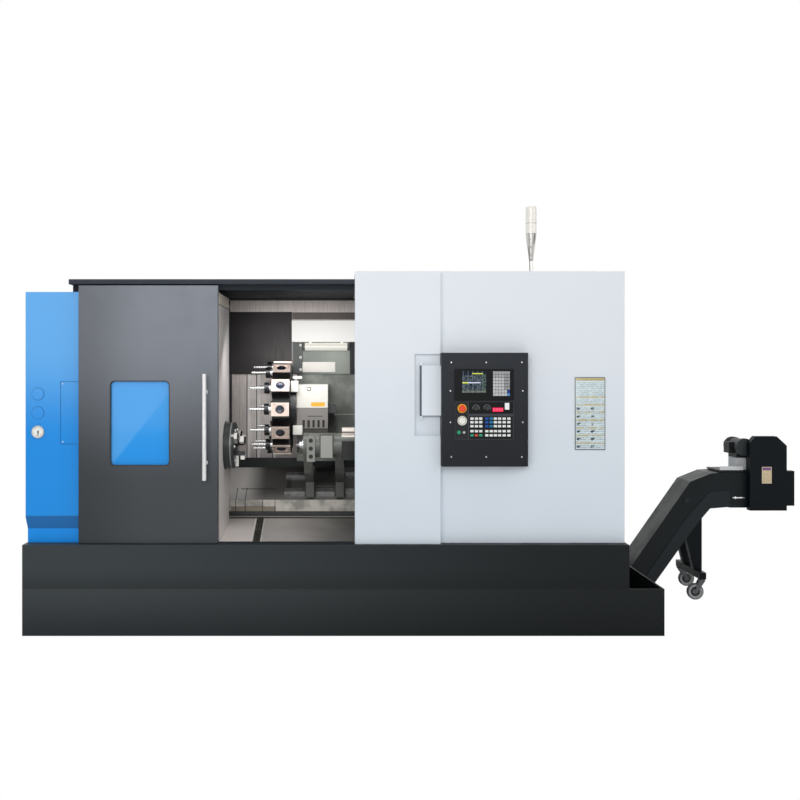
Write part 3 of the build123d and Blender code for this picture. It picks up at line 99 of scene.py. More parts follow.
# %% [markdown]
# ## One method for every node
# The floor, the world and all materials are node trees. A method for each kind of node would be long,
# so one method takes the node's type, its settings and what its sockets hold, and returns an output.


# %% A tree that is filled by one method
class Nodes:
    """A node tree under construction."""

    def __init__(self, tree):
        self.tree = tree

    def node(self, kind, settings=None, sockets=None, out=0):
        """Adds a node, sets it up, fills its sockets and returns one output, several or none."""
        made = self.tree.nodes.new(kind)
        for key, value in (settings or {}).items():
            setattr(made, key, value)
        for key, value in (sockets or {}).items():
            self.fill(made.inputs[key], value)
        if out is None:
            return None
        if isinstance(out, tuple):
            return [Wire(self, made.outputs[key]) for key in out]
        return Wire(self, made.outputs[out])

    def fill(self, socket, value):
        """Links a wire to a socket, or sets a plain value on it."""
        if isinstance(value, Wire):
            self.tree.links.new(value.socket, socket)
        else:
            socket.default_value = value


print("methods:", [name for name in vars(Nodes) if not name.startswith("_")])

# %% [markdown]
# ## A material as an object
# Every finish on the machine starts from the same Principled shader and reads Object coordinates,
# because a solid's object sits at the machine's origin, so a place in metres is the same number here
# and in the CAD model. Generated coordinates would stretch with each piece's box. The patterns that
# come back all the time are grain, fades, bands, boxes and circles. Colours can't go through a Math
# node, which turns them grey, so `mix` blends them. `finish` gives patterns only to the sockets that
# can be baked to a picture.


# %% The material builder
class Paint(Nodes):
    """A material under construction."""

    def __init__(self, name):
        self.material = bpy.data.materials.new(name)
        self.material.use_nodes = True
        super().__init__(self.material.node_tree)
        self.shader = self.tree.nodes["Principled BSDF"]
        self.place = self.node("ShaderNodeTexCoord", out="Object")
        self.x, self.y, self.z = self.node("ShaderNodeSeparateXYZ", {}, {0: self.place}, out=(0, 1, 2))

    def mix(self, mask, first, second):
        """The first colour where the mask is 0 and the second where it is 1."""
        return self.node("ShaderNodeMix", {"data_type": "RGBA"}, {0: mask, 6: first, 7: second}, out=2)

    def grain(self, size, detail=3.0, stretch=(1, 1, 1), rough=0.5):
        """Soft noise from 0 to 1 whose features are about `size` metres."""
        spot = self.node("ShaderNodeMapping", {}, {"Vector": self.place, "Scale": stretch})
        sockets = {"Vector": spot, "Scale": 1 / size, "Detail": detail, "Roughness": rough}
        return self.node("ShaderNodeTexNoise", {}, sockets)

    def fade(self, value, low, high, start=0.0, end=1.0):
        """A smooth step from `start` to `end` as the value goes from low to high."""
        settings = {"interpolation_type": "SMOOTHSTEP"}
        return self.node("ShaderNodeMapRange", settings, {0: value, 1: low, 2: high, 3: start, 4: end})

    def band(self, value, low, high):
        """1 between two values and 0 outside."""
        return (value > low) * (value < high)

    def window(self, x0, x1, z0, z1):
        """1 inside an upright box, seen from the front."""
        return self.band(self.x, x0, x1) * self.band(self.z, z0, z1)

    def spot(self, x, z, radius):
        """1 inside a circle, seen from the front."""
        across, up = self.x - x, self.z - z
        return (across * across + up * up) < radius * radius

    def polar(self, across, up):
        """The distance from an axis and the angle round it, from two distances at right angles."""
        radius = self.node("ShaderNodeMath", {"operation": "SQRT"}, {0: across * across + up * up})
        angle = self.node("ShaderNodeMath", {"operation": "ARCTAN2"}, {0: up, 1: across})
        return radius, angle

    def finish(self, bump=None, **values):
        """Fills the shader's sockets, and links a (height, strength, distance) bump."""
        for key, value in values.items():
            socket = key.replace("_", " ").title().replace("Ior", "IOR")
            self.fill(self.shader.inputs[socket], value)
        if bump:
            sockets = dict(zip(("Height", "Strength", "Distance"), bump))
            self.fill(self.shader.inputs["Normal"], self.node("ShaderNodeBump", {}, sockets))
        return self.material


print("patterns:", [name for name in vars(Paint) if not name.startswith("_")])

# %% [markdown]
# ## Colours and solids
# Paint colours are easiest to think of as web colours, but Blender mixes light, so `tone` turns the
# code into linear numbers. `dress` puts a finish into a CAD solid's own slots: the solid keeps its
# mesh and its place, and only its material changes.


# %% Colours and slots
def tone(code):
    """A web colour as the linear numbers that Blender mixes."""
    parts = [int(code[start : start + 2], 16) / 255 for start in (0, 2, 4)]
    return tuple(p / 12.92 if p <= 0.04045 else ((p + 0.055) / 1.055) ** 2.4 for p in parts) + (1.0,)


def dress(material, *names):
    """Puts a material on CAD nodes."""
    for name in names:
        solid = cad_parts[name]
        if not solid.material_slots:
            solid.data.materials.append(material)
        for place in solid.material_slots:
            place.material = material
    print(material.name, "on", ", ".join(names))


print("mid grey in light:", round(tone("808080")[0], 3))

# %% [markdown]
# ## Powder coat
# The cabinets, door and base are sheet steel with powder coat. It is never one flat colour: a large
# panel is painted lighter towards the top as painted light from the sky, the coat has a fine orange
# peel, and dust and touch darken it a little. One flat colour with a gloss would look like plastic. A
# fade over the height carries the painted light, a fade along the machine carries painted shade
# towards one end, and two sizes of grain carry the rest.


# %% The powder coat as a recipe
PEEL = 0.0022
SMUDGE = 0.12
CLOUD = 0.55


def powder_coat(name, low, high, heights, rough=0.42, peel=PEEL, mottle=0.04, shade_along_x=None, sheen=0.3):
    """Paint that fades from one tone to another over two heights as painted light, with an orange peel,
    and with painted shade along X if asked.
    """
    paint = Paint(name)
    # Painted light: lighter from the lower height to the upper one.
    colour = paint.mix(paint.fade(paint.z, *heights), tone(low), tone(high))
    # Painted shade along X: darkest at `far`, none from `near` on.
    if shade_along_x:
        far, near, share = shade_along_x
        colour = paint.mix(paint.fade(paint.x, far, near, share, 0), colour, tone("0B0F10"))
    shade = paint.fade(paint.grain(CLOUD, 2.0), 0.3, 0.75, 0.0, mottle)
    return paint.finish(
        bump=(paint.grain(peel, 2.0), 0.12, 0.0006),
        base_color=paint.mix(shade, colour, tone("101214")),
        roughness=paint.fade(paint.grain(SMUDGE, 4.0), 0.35, 0.8, rough - 0.05, rough + 0.08),
        specular_ior_level=sheen,
    )


print("orange peel:", PEEL * 1000, "mm")

# %% [markdown]
# ## White and graphite sheets
# The same recipe serves every coated sheet. A dark coat needs a low sheen here, because the white
# room shows in it and would turn it grey. The base and the tank get painted shade to the right, as the
# real ones show in the light that falls on them from the left, and the door gets painted shade at its
# left end.

# %% Dress the coated sheets
white_coat = powder_coat("white_powder_coat", "D5DEE7", "E2E7ED", (0.8, 2.2), 0.40, mottle=0.015)
dress(white_coat, "right_cabinet", "tailstock_cover", "electric_cabinet_door", "rear_cover")
# Painted shade on the door, darkest at its left end.
door_shade = (-1.75, -1.25, 0.38)
graphite_coat = powder_coat("graphite_powder_coat", "3D4145", "7B8089", (0.95, 1.95), 0.40, shade_along_x=door_shade)
dress(graphite_coat, "door_panel")
roof_coat = powder_coat(
    "roof_powder_coat", "2A2E33", "3C4048", (2.25, 2.33), 0.62, mottle=0.01, sheen=0.12
)
dress(roof_coat, "upper_housing", "door_rails")
# Painted shade on the base, darkest at its right end.
base_shade = (1.9, -2.1, 0.85)
base_coat = powder_coat(
    "base_powder_coat", "303536", "3A4043", (0.30, 0.45), 0.50, shade_along_x=base_shade, sheen=0.15
)
dress(base_coat, "machine_base")
# Painted shade on the tank, darkest at its right end.
tank_shade = (2.0, -2.1, 0.85)
tank_coat = powder_coat(
    "tank_powder_coat", "2B3032", "3D4244", (0.0, 0.31), 0.50, shade_along_x=tank_shade, sheen=0.15
)
dress(tank_coat, "coolant_tank")
conveyor_coat = powder_coat("conveyor_powder_coat", "070D10", "0B1216", (0.2, 1.2), 0.42, sheen=0.12)
dress(conveyor_coat, "conveyor_drive_guard", "conveyor_stand")

# %% [markdown]
# ## The panel's arm
# The arm that carries the control panel folds into a recess of the white cabinet. The gap round it is
# too thin to model, so the material paints its shade as a dark line at the arm's left and lower edges.

# %% White coat with a dark edge
paint = Paint("panel_arm_coat")
colour = paint.mix(paint.grain(CLOUD, 2.0), tone("DCE4EC"), tone("E6ECF2"))
# Painted shade of the gap round the arm: a dark line at its left and lower edges.
edge = (paint.x < 0.5135) + (paint.z < 1.4305)
shown = paint.x < 0.70
arm_finish = paint.finish(
    bump=(paint.grain(PEEL, 2.0), 0.12, 0.0006),
    base_color=paint.mix(edge * shown, colour, tone("5A6068")),
    roughness=paint.fade(paint.grain(SMUDGE, 4.0), 0.35, 0.8, 0.35, 0.48),
    specular_ior_level=0.3,
)
dress(arm_finish, "panel_arm")

# %% [markdown]
# ## The blue cabinet
# The blue side cabinet is the same coat, painted lighter towards the top as painted light. Where the
# sheet slopes back above its foot it gets a band of painted shade, with a line of painted highlight at
# the band's upper edge. Its two blanks and the service hatch are cut with a thin gap, which shows as a
# dark line. A ring is one circle minus a smaller one, and a frame is one box minus a smaller one. Both
# are kept to the front, because a pattern on X and Z alone would come through on the back as well.

# %% Blue coat with its gaps
BLANK_X = -2.014
paint = Paint("blue_powder_coat")
on_front = paint.y < -0.95
# Painted light: lighter towards the top.
colour = paint.mix(paint.fade(paint.z, 1.25, 1.90), tone("1690E8"), tone("62B0F2"))
# Painted shade on the sloping band, and a painted highlight at its upper edge.
colour = paint.mix(paint.band(paint.z, 0.683, 0.769), colour, tone("1469AE"))
colour = paint.mix(paint.band(paint.z, 0.763, 0.769) * 0.5, colour, tone("2A7FC4"))
colour = paint.mix(paint.z < 0.683, colour, tone("0A93F2"))
colour = paint.mix(paint.grain(0.5, 2.0) * 0.05, colour, tone("0A3C66"))
for height in (1.447, 1.571):
    ring = paint.spot(BLANK_X, height, 0.0425) - paint.spot(BLANK_X, height, 0.0385)
    colour = paint.mix(ring * on_front * 0.55, colour, tone("0F4F86"))
outer = paint.window(-1.8675, -1.6205, 1.2385, 1.6565)
inner = paint.window(-1.8615, -1.6265, 1.2445, 1.6505)
colour = paint.mix((outer - inner) * on_front * 0.5, colour, tone("0F4F86"))
blue_finish = paint.finish(
    bump=(paint.grain(PEEL, 2.0), 0.12, 0.0006),
    base_color=colour,
    roughness=paint.fade(paint.grain(SMUDGE, 4.0), 0.35, 0.8, 0.32, 0.44),
    specular_ior_level=0.3,
)
dress(blue_finish, "left_cabinet", "service_hatch")

# %% [markdown]
# ## Conveyor casing
# The chip conveyor is a black folded casing whose raised side plate and upper faces catch more light.
# The plates could be painted one by one in the CAD model, but they are one welded piece, so depth and
# height pick the tone here.

# %% The casing's black paint
paint = Paint("conveyor_casing_paint")
colour = paint.mix(paint.grain(0.4, 2.0), tone("0B1114"), tone("12181B"))
colour = paint.mix(paint.y < -0.0015, colour, tone("1C2225"))
top_faces = paint.band(paint.y, 0.001, 0.281) * (paint.z > 0.24)
casing_finish = paint.finish(
    bump=(paint.grain(PEEL, 2.0), 0.12, 0.0006),
    base_color=paint.mix(top_faces, colour, tone("272C2B")),
    roughness=paint.fade(paint.grain(SMUDGE, 4.0), 0.35, 0.8, 0.36, 0.52),
    specular_ior_level=0.2,
)
dress(casing_finish, "conveyor_casing")

# %% [markdown]
# ## Gear motor
# The motor is cast and painted black, and its gear case below is bare aluminium. The solid has seven
# low cooling fins at the back, and lighter stripes along Y, painted highlights on fin edges, suggest
# more over the rest of the housing. The height picks out the bare case.

# %% The motor's paint and its bare case
paint = Paint("gear_motor_paint")
cast = paint.grain(0.004, 3.0)
colour = paint.mix(cast, tone("0B0D0E"), tone("1E2122"))
# Painted highlights: lighter stripes along Y stand for lit fin edges on the upper housing.
fin_highlights = ((paint.y * 70) % 1.0) < 0.35
colour = paint.mix(fin_highlights * (paint.z > 1.08), colour, tone("2C3031"))
gear_case = paint.band(paint.z, 0.9655, 1.055) * (paint.x < 3.10)
aluminium = paint.mix(cast, tone("A9ADAF"), tone("E4E6E7"))
motor_finish = paint.finish(
    bump=(cast, 0.3, 0.0008),
    base_color=paint.mix(gear_case, colour, aluminium),
    roughness=paint.fade(cast, 0.3, 0.7, 0.34, 0.5),
    specular_ior_level=0.25,
)
dress(motor_finish, "conveyor_gearmotor")

# %% [markdown]
# ## Brushed and ground steel
# Ways, centres and rods are ground, and guards are sheet with the mill's long grain. Noise stretched a
# hundred times along one axis looks just like it. An anisotropic shader would stretch the reflections
# too, but that is lost when the finish is baked to pictures. So the streaks drive the colour and the
# roughness together, and catch the light in either case.


# %% The brushed steels
def brushed(name, dark, light, along, rough, metal, coarse=0.0007, stain=0.05):
    """Steel with a straight grain, faint stains and long soft reflections."""
    paint = Paint(name)
    squeeze = {"x": (0.01, 1, 1), "z": (1, 1, 0.01)}[along]
    streak = paint.grain(coarse, 3.0, squeeze)
    colour = paint.mix(paint.fade(streak, 0.25, 0.75), tone(dark), tone(light))
    colour = paint.mix(paint.fade(paint.grain(0.22), 0.45, 0.8, 0.0, stain), colour, tone("4A443E"))
    shine = paint.fade(streak, 0.2, 0.8, rough - 0.08, rough + 0.12)
    return paint.finish(bump=(streak, 0.10, 0.0004), base_color=colour, roughness=shine, metallic=metal)


ground_steel = brushed("ground_steel", "A9ABAD", "DADCDD", "x", 0.22, 0.85)
dress(ground_steel, "bed_guideways", "live_center", "tailstock_quill")
dress(ground_steel, "conveyor_head_shaft", "conveyor_belt", "key_switch")
handle_steel = brushed("handle_steel", "D2D3D5", "F7F7F7", "z", 0.26, 0.35)
dress(handle_steel, "door_handle")

# %% [markdown]
# ## Sliding screens
# The back of the work space is closed by sheets that slide over each other, and each gets a dark line
# of painted shadow along its left edge, where it overlaps the next sheet, with a strip of painted
# highlight beside it. The saddle's own sheet is enamelled grey-green to the right of the turret. The
# three differ only in where the painted shadow and the enamel are, so one function makes them. Coolant
# leaves clouds on them, and their feet lie in painted shadow and grime.


# %% The screens
STREAK = 0.0016
UPRIGHT = (1, 1, 0.01)


def screen(name, shadow_edge, enamel_from=9.0):
    """A sheet with painted shadow at its left edge, and enamel to the right of a place along X."""
    paint = Paint(name)
    streak = paint.grain(STREAK, 3.0, UPRIGHT)
    cloud = paint.grain(0.16, 4.0)
    enamelled = paint.x > enamel_from
    colour = paint.mix(paint.fade(streak, 0.25, 0.75), tone("CFC7C3"), tone("FAF2EE"))
    colour = paint.mix(paint.fade(cloud, 0.42, 0.75, 0, 0.35), colour, tone("8E8781"))
    # Darker towards the foot: painted shadow and grime.
    colour = paint.mix(paint.fade(paint.z, 1.25, 0.95, 0, 0.75), colour, tone("4C4B48"))
    enamel = paint.mix(paint.fade(cloud, 0.35, 0.7), tone("62665F"), tone("888C84"))
    colour = paint.mix(enamelled, colour, enamel)
    colour = paint.mix(enamelled * paint.band(paint.z, 1.382, 1.388), colour, tone("A3A69E"))
    # Painted shadow: a dark line along the sheet's left edge.
    colour = paint.mix(paint.band(paint.x, shadow_edge, shadow_edge + 0.007), colour, tone("26211D"))
    # Painted highlight on a strip beside that line.
    lit_edge = paint.band(paint.x, shadow_edge + 0.007, shadow_edge + 0.030)
    return paint.finish(
        bump=(streak, 0.10, 0.0004),
        base_color=paint.mix(lit_edge * 0.4, colour, tone("FFFFFF")),
        roughness=paint.fade(streak, 0.2, 0.8, 0.36, 0.54),
        metallic=0.3,
    )


dress(screen("screen_sheet_1", -0.7612), "cover_sheet_1")
dress(screen("screen_sheet_2", -0.6852), "cover_sheet_2")
dress(screen("saddle_sheet", -0.5612, -0.362), "saddle")

# %% [markdown]
# ## The side wall
# The wall beside the chuck is the same sheet, and seen from the front it shows three zones: a bright
# jamb, a wall behind it in painted shade and a darker corner of painted shade at the back, with a
# line of painted shade where the jamb turns into the wall. They follow the depth, Y, so a fade for
# each is enough.

# %% The side wall and its jamb
paint = Paint("side_wall_sheet")
streak = paint.grain(STREAK, 3.0, UPRIGHT)
on_jamb = paint.y < -0.44
colour = paint.mix(paint.fade(streak, 0.25, 0.75), tone("D0CBC8"), tone("F6F1EE"))
# Painted shade on the wall behind the jamb.
colour = paint.mix(paint.fade(paint.y, -0.45, -0.42), colour, tone("7A7571"))
# Painted shade in the corner at the back.
colour = paint.mix(paint.fade(paint.y, 0.02, 0.16, 0, 0.85), colour, tone("1E1C1A"))
# A line of painted shade where the jamb turns into the wall.
colour = paint.mix(paint.band(paint.y, -0.436, -0.424), colour, tone("201E1C"))
colour = paint.mix((paint.z > 2.165) * on_jamb, colour, tone("F3EBD9"))
colour = paint.mix(paint.band(paint.z, 2.160, 2.166) * on_jamb, colour, tone("26221E"))
side_wall_finish = paint.finish(
    bump=(streak, 0.10, 0.0004),
    base_color=colour,
    roughness=paint.fade(streak, 0.2, 0.8, 0.36, 0.52),
    metallic=0.3,
)
dress(side_wall_finish, "side_guard")

# %% [markdown]
# ## Bed cover
# The sheet over the bed is painted bright where it runs down beside the chuck and darker under the
# turret, as painted light and shade, and a bright line on its left bevel is a painted highlight. Its
# panels overlap, and each joint is a thin dark line. The overlaps are a millimetre high, so lines in
# the material show them better than steps in the mesh would. A wider dark band among the lines is a
# painted shadow.

# %% The bed cover's sheets and joints
paint = Paint("bed_cover_sheet")
streak = paint.grain(STREAK, 3.0, (1, 0.01, 1))
cloud = paint.grain(0.13, 4.0)
ledge = paint.y < -0.2405
# The dark tone is painted shade under the turret, and the fade to bright on the left is painted light
# beside the chuck.
colour = paint.mix(paint.fade(streak, 0.25, 0.75), tone("4E4E4B"), tone("6A6966"))
colour = paint.mix(paint.fade(paint.x, -0.58, -0.78), colour, tone("FFFCF8"))
colour = paint.mix(paint.fade(paint.y, -0.12, -0.25, 0, 0.5), colour, tone("9A9793"))
front = paint.mix(paint.fade(cloud, 0.4, 0.62), tone("8C8983"), tone("C0BCB4"))
front = paint.mix(paint.window(-0.83, -0.50, 0.690, 0.722), front, tone("847B6D"))
front = paint.mix(paint.z < 0.690, front, tone("3B3A37"))
colour = paint.mix(ledge, colour, front)
joints_and_shadow = paint.band(paint.y, -0.118, -0.108) * paint.band(paint.x, -0.77, -0.50)
for joint, reach in ((-0.795, -0.10), (-0.725, -0.10), (-0.598, -0.24), (-0.505, -0.24)):
    joints_and_shadow = joints_and_shadow + paint.band(paint.x, joint - 0.003, joint + 0.003) * (paint.y < reach)
joints_and_shadow = joints_and_shadow + paint.band(paint.z, 0.720, 0.724) * ledge * (paint.x < -0.50)
# A wider dark band: a painted shadow, not a joint.
joints_and_shadow = joints_and_shadow + paint.band(paint.x, -0.43, -0.395) * paint.band(paint.y, -0.20, 0.10) * 0.7
colour = paint.mix(joints_and_shadow * 0.8, colour, tone("151412"))
# A painted highlight on the left bevel.
colour = paint.mix(paint.band(paint.x, -0.885, -0.868) * 0.8, colour, tone("EDE8E2"))
bed_cover_finish = paint.finish(
    bump=(streak, 0.10, 0.0004),
    base_color=colour,
    roughness=paint.fade(cloud, 0.3, 0.7, 0.34, 0.50),
    metallic=0.3,
)
dress(bed_cover_finish, "bed_cover")

# %% [markdown]
# ## Chip apron
# The apron in front is made of two trays with a folded rim and a gutter between them, which runs a
# little aslant. The gutter is painted dark as shade and the rims bright as painted highlights; the
# left tray gets painted light towards the front, and the right end and the back under the bed cover
# get painted shade. `split` is zero along that gutter, so the gutter and its two rims are bands of it.

# %% The apron's two trays
paint = Paint("apron_sheet")
streak = paint.grain(STREAK, 3.0, (0.01, 1, 1))
split = (paint.x + 0.573) + (paint.y + 0.960) * 0.0446
colour = paint.mix(paint.fade(streak, 0.25, 0.75), tone("B2ADAA"), tone("CDC8C4"))
# Painted shade towards the right end.
colour = paint.mix(paint.fade(paint.x, -0.45, 0.10), colour, tone("6E6C69"))
# Painted light on the left tray, towards the front.
left_painted_light = (split < 0) * paint.fade(paint.y, -0.3, -0.7, 0.0, 0.75)
colour = paint.mix(left_painted_light, colour, tone("F4ECE8"))
# Painted shade in the gutter, and painted highlights on its two rims.
colour = paint.mix(paint.band(split, -0.030, 0.024), colour, tone("191815"))
colour = paint.mix(paint.band(split, -0.040, -0.028), colour, tone("EFECE7"))
colour = paint.mix(paint.band(split, 0.022, 0.032), colour, tone("D8D4CE"))
# Painted shade at the back, under the bed cover's edge.
colour = paint.mix(paint.y > -0.345, colour, tone("151411"))
colour = paint.mix(paint.band(paint.y, -0.300, -0.272), colour, tone("CFCBC5"))
colour = paint.mix(paint.y < -0.945, colour, tone("7C7E80"))
apron_finish = paint.finish(
    bump=(streak, 0.10, 0.0004),
    base_color=colour,
    roughness=paint.fade(paint.grain(0.2), 0.3, 0.7, 0.34, 0.5),
    metallic=0.3,
)
dress(apron_finish, "chip_apron")

# %% [markdown]
# ## Back guard
# One solid holds several sheets of the rear wall: a grey strip and a bright band at the top, a dark
# splash panel, the white lamp housing and the fixed screen below. Seen from the front each of them is
# an upright box, so the first step is to name those boxes as masks.

# %% Where the back guard's panels are
paint = Paint("back_guard_panels")
white_box = (paint.y < 0.1395) * paint.band(paint.z, 1.9495, 2.1145)
splash_zone = paint.window(-0.9, -0.403, 1.7, 2.186) * (1 - white_box)
header = paint.window(-0.401, 0.65, 2.128, 2.182) * (1 - white_box)
column = paint.window(-0.400, -0.321, 1.684, 1.9495)
slot = paint.window(0.049, 0.086, 1.70, 1.9495)
upper_right = paint.window(-0.321, 0.65, 1.7, 1.9495)
light_ledge = paint.window(-0.322, -0.065, 1.715, 1.794)
# The part under the roof, painted near-black as shade.
shaded_ceiling = paint.z > 2.2745
seams = paint.band(paint.x, -0.8185, -0.8165)
for seam in (-0.731, -0.520):
    seams = seams + paint.band(paint.x, seam - 0.001, seam + 0.001) * (paint.z > 2.186)
print("math nodes so far:", len(paint.tree.nodes))

# %% [markdown]
# ## The panels' finishes
# Each mask then lays its own tone over the bright sheet, from the back to the front: what is mixed in
# last covers the rest. The lamp housing is white enamel, not metal, and a weak emission paints on it
# the light of its own lamp. The ceiling under the roof and the corner with the side wall are painted
# dark as shade.

# %% Dress the back guard
streak = paint.grain(STREAK, 3.0, UPRIGHT)
bright = paint.mix(paint.fade(streak, 0.25, 0.75), tone("A29A96"), tone("D8CFCB"))
splash = paint.mix(paint.grain(0.2), tone("1C1B1B"), tone("332F2F"))
grey_green = paint.mix(paint.fade(paint.x, -0.30, 0.0), tone("565A56"), tone("6C706A"))
colour = paint.mix(splash_zone, bright, splash)
colour = paint.mix(upper_right, colour, grey_green)
colour = paint.mix(header, colour, tone("57514F"))
colour = paint.mix(light_ledge, colour, tone("A8A5A0"))
colour = paint.mix(column, colour, tone("2C3232"))
colour = paint.mix(slot, colour, tone("141618"))
for height in (1.735, 1.830, 1.925):
    colour = paint.mix(paint.spot(-0.335, height, 0.011), colour, tone("E4E2DE"))
# Painted shade in the corner with the side wall.
colour = paint.mix(paint.window(-0.885, -0.877, 1.04, 1.702), colour, tone("201E1C"))
colour = paint.mix(shaded_ceiling, colour, tone("0E1013"))
colour = paint.mix(seams * 0.6, colour, tone("2A2827"))
colour = paint.mix(white_box, colour, tone("F6F5F1"))
back_guard_finish = paint.finish(
    bump=(streak, 0.08, 0.0004),
    base_color=colour,
    roughness=paint.fade(streak, 0.2, 0.8, 0.30, 0.48),
    metallic=(1 - white_box) * (1 - column) * (1 - shaded_ceiling) * 0.6,
    # Painted light: a weak glow on the lamp housing from its own lamp.
    emission_color=paint.mix(white_box, tone("000000"), tone("FFFDF8")),
    emission_strength=0.28,
)
dress(back_guard_finish, "back_guard")

# %% [markdown]
# ## Castings
# The bed, headstock and turret disc are iron castings with filler and thick enamel. Sand casting
# leaves a lumpy skin a few millimetres across. Real bumps of that size would cost thousands of faces,
# and a Bump node does the same for the light.


# %% The castings
def casting(name, low, high, rough=0.45, size=0.006):
    """Enamel over a sand-cast skin."""
    paint = Paint(name)
    cloud = paint.grain(0.09)
    return paint.finish(
        bump=(paint.grain(size, 4.0, rough=0.6), 0.25, 0.0012),
        base_color=paint.mix(cloud, tone(low), tone(high)),
        roughness=paint.fade(cloud, 0.3, 0.7, rough - 0.1, rough + 0.1),
        metallic=0.15,
    )


dress(casting("bed_casting_enamel", "35393A", "4A4F50"), "slant_bed", "headstock")
dress(casting("turret_black_enamel", "0B0C0D", "1C1D1F", 0.35, 0.004), "turret_disc")

# %% [markdown]
# ## Tailstock
# The tailstock is one casting with machined faces. The flange in front, the box behind it, the light
# caps on the shoes and the end of the clamp cylinder differ in tone, so each gets its own zone. A
# limit on Y keeps a zone on the front face, where the tool that cut it could reach.

# %% The tailstock's casting and machined faces
paint = Paint("tailstock_enamel")
cloud = paint.grain(0.07)
front_face = paint.y < -0.700
right_block = paint.y < -0.60
colour = paint.mix(cloud, tone("4E504D"), tone("787A75"))
# Painted shade: darker towards the bottom.
colour = paint.mix(paint.fade(paint.z, 1.02, 0.86, 0, 0.5), colour, tone("2A2C2A"))
flange = paint.window(-0.252, -0.195, 1.10, 1.28) * front_face
colour = paint.mix(flange, colour, tone("868882"))
for height in (1.135, 1.190, 1.245):
    colour = paint.mix(paint.spot(-0.2235, height, 0.015) * front_face, colour, tone("1C1D1C"))
box_face = paint.window(-0.163, -0.069, 1.119, 1.287) * front_face
colour = paint.mix(box_face, colour, tone("9C9D97"))
box_rim = box_face * (1 - paint.window(-0.156, -0.076, 1.127, 1.279))
colour = paint.mix(box_rim, colour, tone("4A4B48"))
dark_block = paint.window(-0.012, 0.0775, 1.109, 1.241) * right_block
colour = paint.mix(dark_block, colour, tone("121312"))
cylinder = paint.window(-0.012, 0.0775, 1.268, 1.332) * right_block
striped = paint.mix(paint.band(paint.z, 1.296, 1.304), tone("E6DDD3"), tone("3A322C"))
colour = paint.mix(cylinder, colour, striped)
caps = paint.band(paint.z, 0.960, 1.021) * paint.band(paint.y, -0.276, -0.2325)
tailstock_finish = paint.finish(
    bump=(paint.grain(0.006, 4.0, rough=0.6), 0.25, 0.0010),
    base_color=paint.mix(caps, colour, tone("D0CDC6")),
    roughness=paint.fade(cloud, 0.3, 0.7, 0.34, 0.52),
    metallic=0.15,
)
dress(tailstock_finish, "tailstock_body")

# %% [markdown]
# ## Turret head
# The head has a white upper cover and a grey lower casting, split at a level line. An orange field and
# a small hook-shaped catch sit on the white part, and a slot line and the vents on the grey one. The
# vents are cut in the solid, and their floors are painted black as shade.

# %% The turret head's covers
paint = Paint("turret_head_covers")
front_side = paint.y < -0.345
colour = paint.mix(paint.z > 1.456, tone("7F7B77"), tone("DAD8CF"))
colour = paint.mix(paint.window(-0.235, -0.135, 1.466, 1.496) * front_side, colour, tone("E8A92E"))
colour = paint.mix(paint.window(-0.262, -0.152, 1.392, 1.398) * front_side, colour, tone("2B2A29"))
colour = paint.mix(paint.band(paint.z, 1.4535, 1.4565), colour, tone("4A4845"))
hook = (paint.spot(-0.250, 1.592, 0.0150) - paint.spot(-0.250, 1.592, 0.0095)) * (paint.z < 1.594)
hook = hook + paint.window(-0.2405, -0.235, 1.593, 1.604)
hook = hook + paint.window(-0.272, -0.236, 1.603, 1.608)
colour = paint.mix(hook * front_side, colour, tone("34322F"))
# Painted shade: the vent floors are black.
vent_floor_shade = paint.band(paint.y, -0.3488, -0.330) * paint.band(paint.z, 1.300, 1.372)
colour = paint.mix(vent_floor_shade, colour, tone("0E0F10"))
colour = paint.mix(paint.x > -0.1135, colour, tone("3A3C3B"))
colour = paint.mix(paint.z < 1.20, colour, tone("6B6A68"))
head_finish = paint.finish(
    bump=(paint.grain(0.002, 2.0), 0.1, 0.0005),
    base_color=colour,
    roughness=paint.fade(paint.grain(0.1), 0.3, 0.7, 0.30, 0.45),
)
dress(head_finish, "cross_slide")

# %% [markdown]
# ## Tool blocks
# Twelve ground blocks sit round the turret. Each outer face is bright, its flanks are black and its
# left end is grey. Twelve boxes could be written down, but the blocks repeat every 30 degrees, so the
# angle is folded into one station, and `out` is how far a point lies towards that station's face.

# %% The blocks' finish, folded into one station
SLOPE = math.radians(30)
SPINDLE_Y = -0.620
SPINDLE_Z = 1.207
TURRET_REACH = 0.490
TURRET_Y = SPINDLE_Y + TURRET_REACH * math.cos(SLOPE)
TURRET_Z = SPINDLE_Z + TURRET_REACH * math.sin(SLOPE)
STATION = math.radians(30)

paint = Paint("tool_block_steel")
radius, angle = paint.polar(paint.y - TURRET_Y, paint.z - TURRET_Z)
swing = (angle + (4 * math.pi + STATION / 2)) % STATION - STATION / 2
out = radius * paint.node("ShaderNodeMath", {"operation": "COSINE"}, {0: swing})
face = out > 0.3305
grain = paint.grain(0.001, 3.0, (0.01, 1, 1))
bright = paint.mix(grain, tone("C7AFA1"), tone("F4E6DC"))
bright = paint.mix(paint.fade(paint.grain(0.03), 0.5, 0.7, 0, 0.4), bright, tone("8A7466"))
black = paint.mix(paint.grain(0.02), tone("0C0C0D"), tone("2A2726"))
colour = paint.mix(face, black, bright)
end_grey = paint.mix(grain, tone("6A6462"), tone("A79F9A"))
colour = paint.mix(paint.x < -0.5115, colour, end_grey)
block_finish = paint.finish(
    bump=(grain, 0.12, 0.0003),
    base_color=paint.mix(face * (out < 0.3385), colour, tone("DCC8BC")),
    roughness=paint.fade(grain, 0.2, 0.8, 0.26, 0.42),
    metallic=0.35,
)
dress(block_finish, "tool_blocks")
print("turret axis:", round(TURRET_Y, 3), round(TURRET_Z, 3))

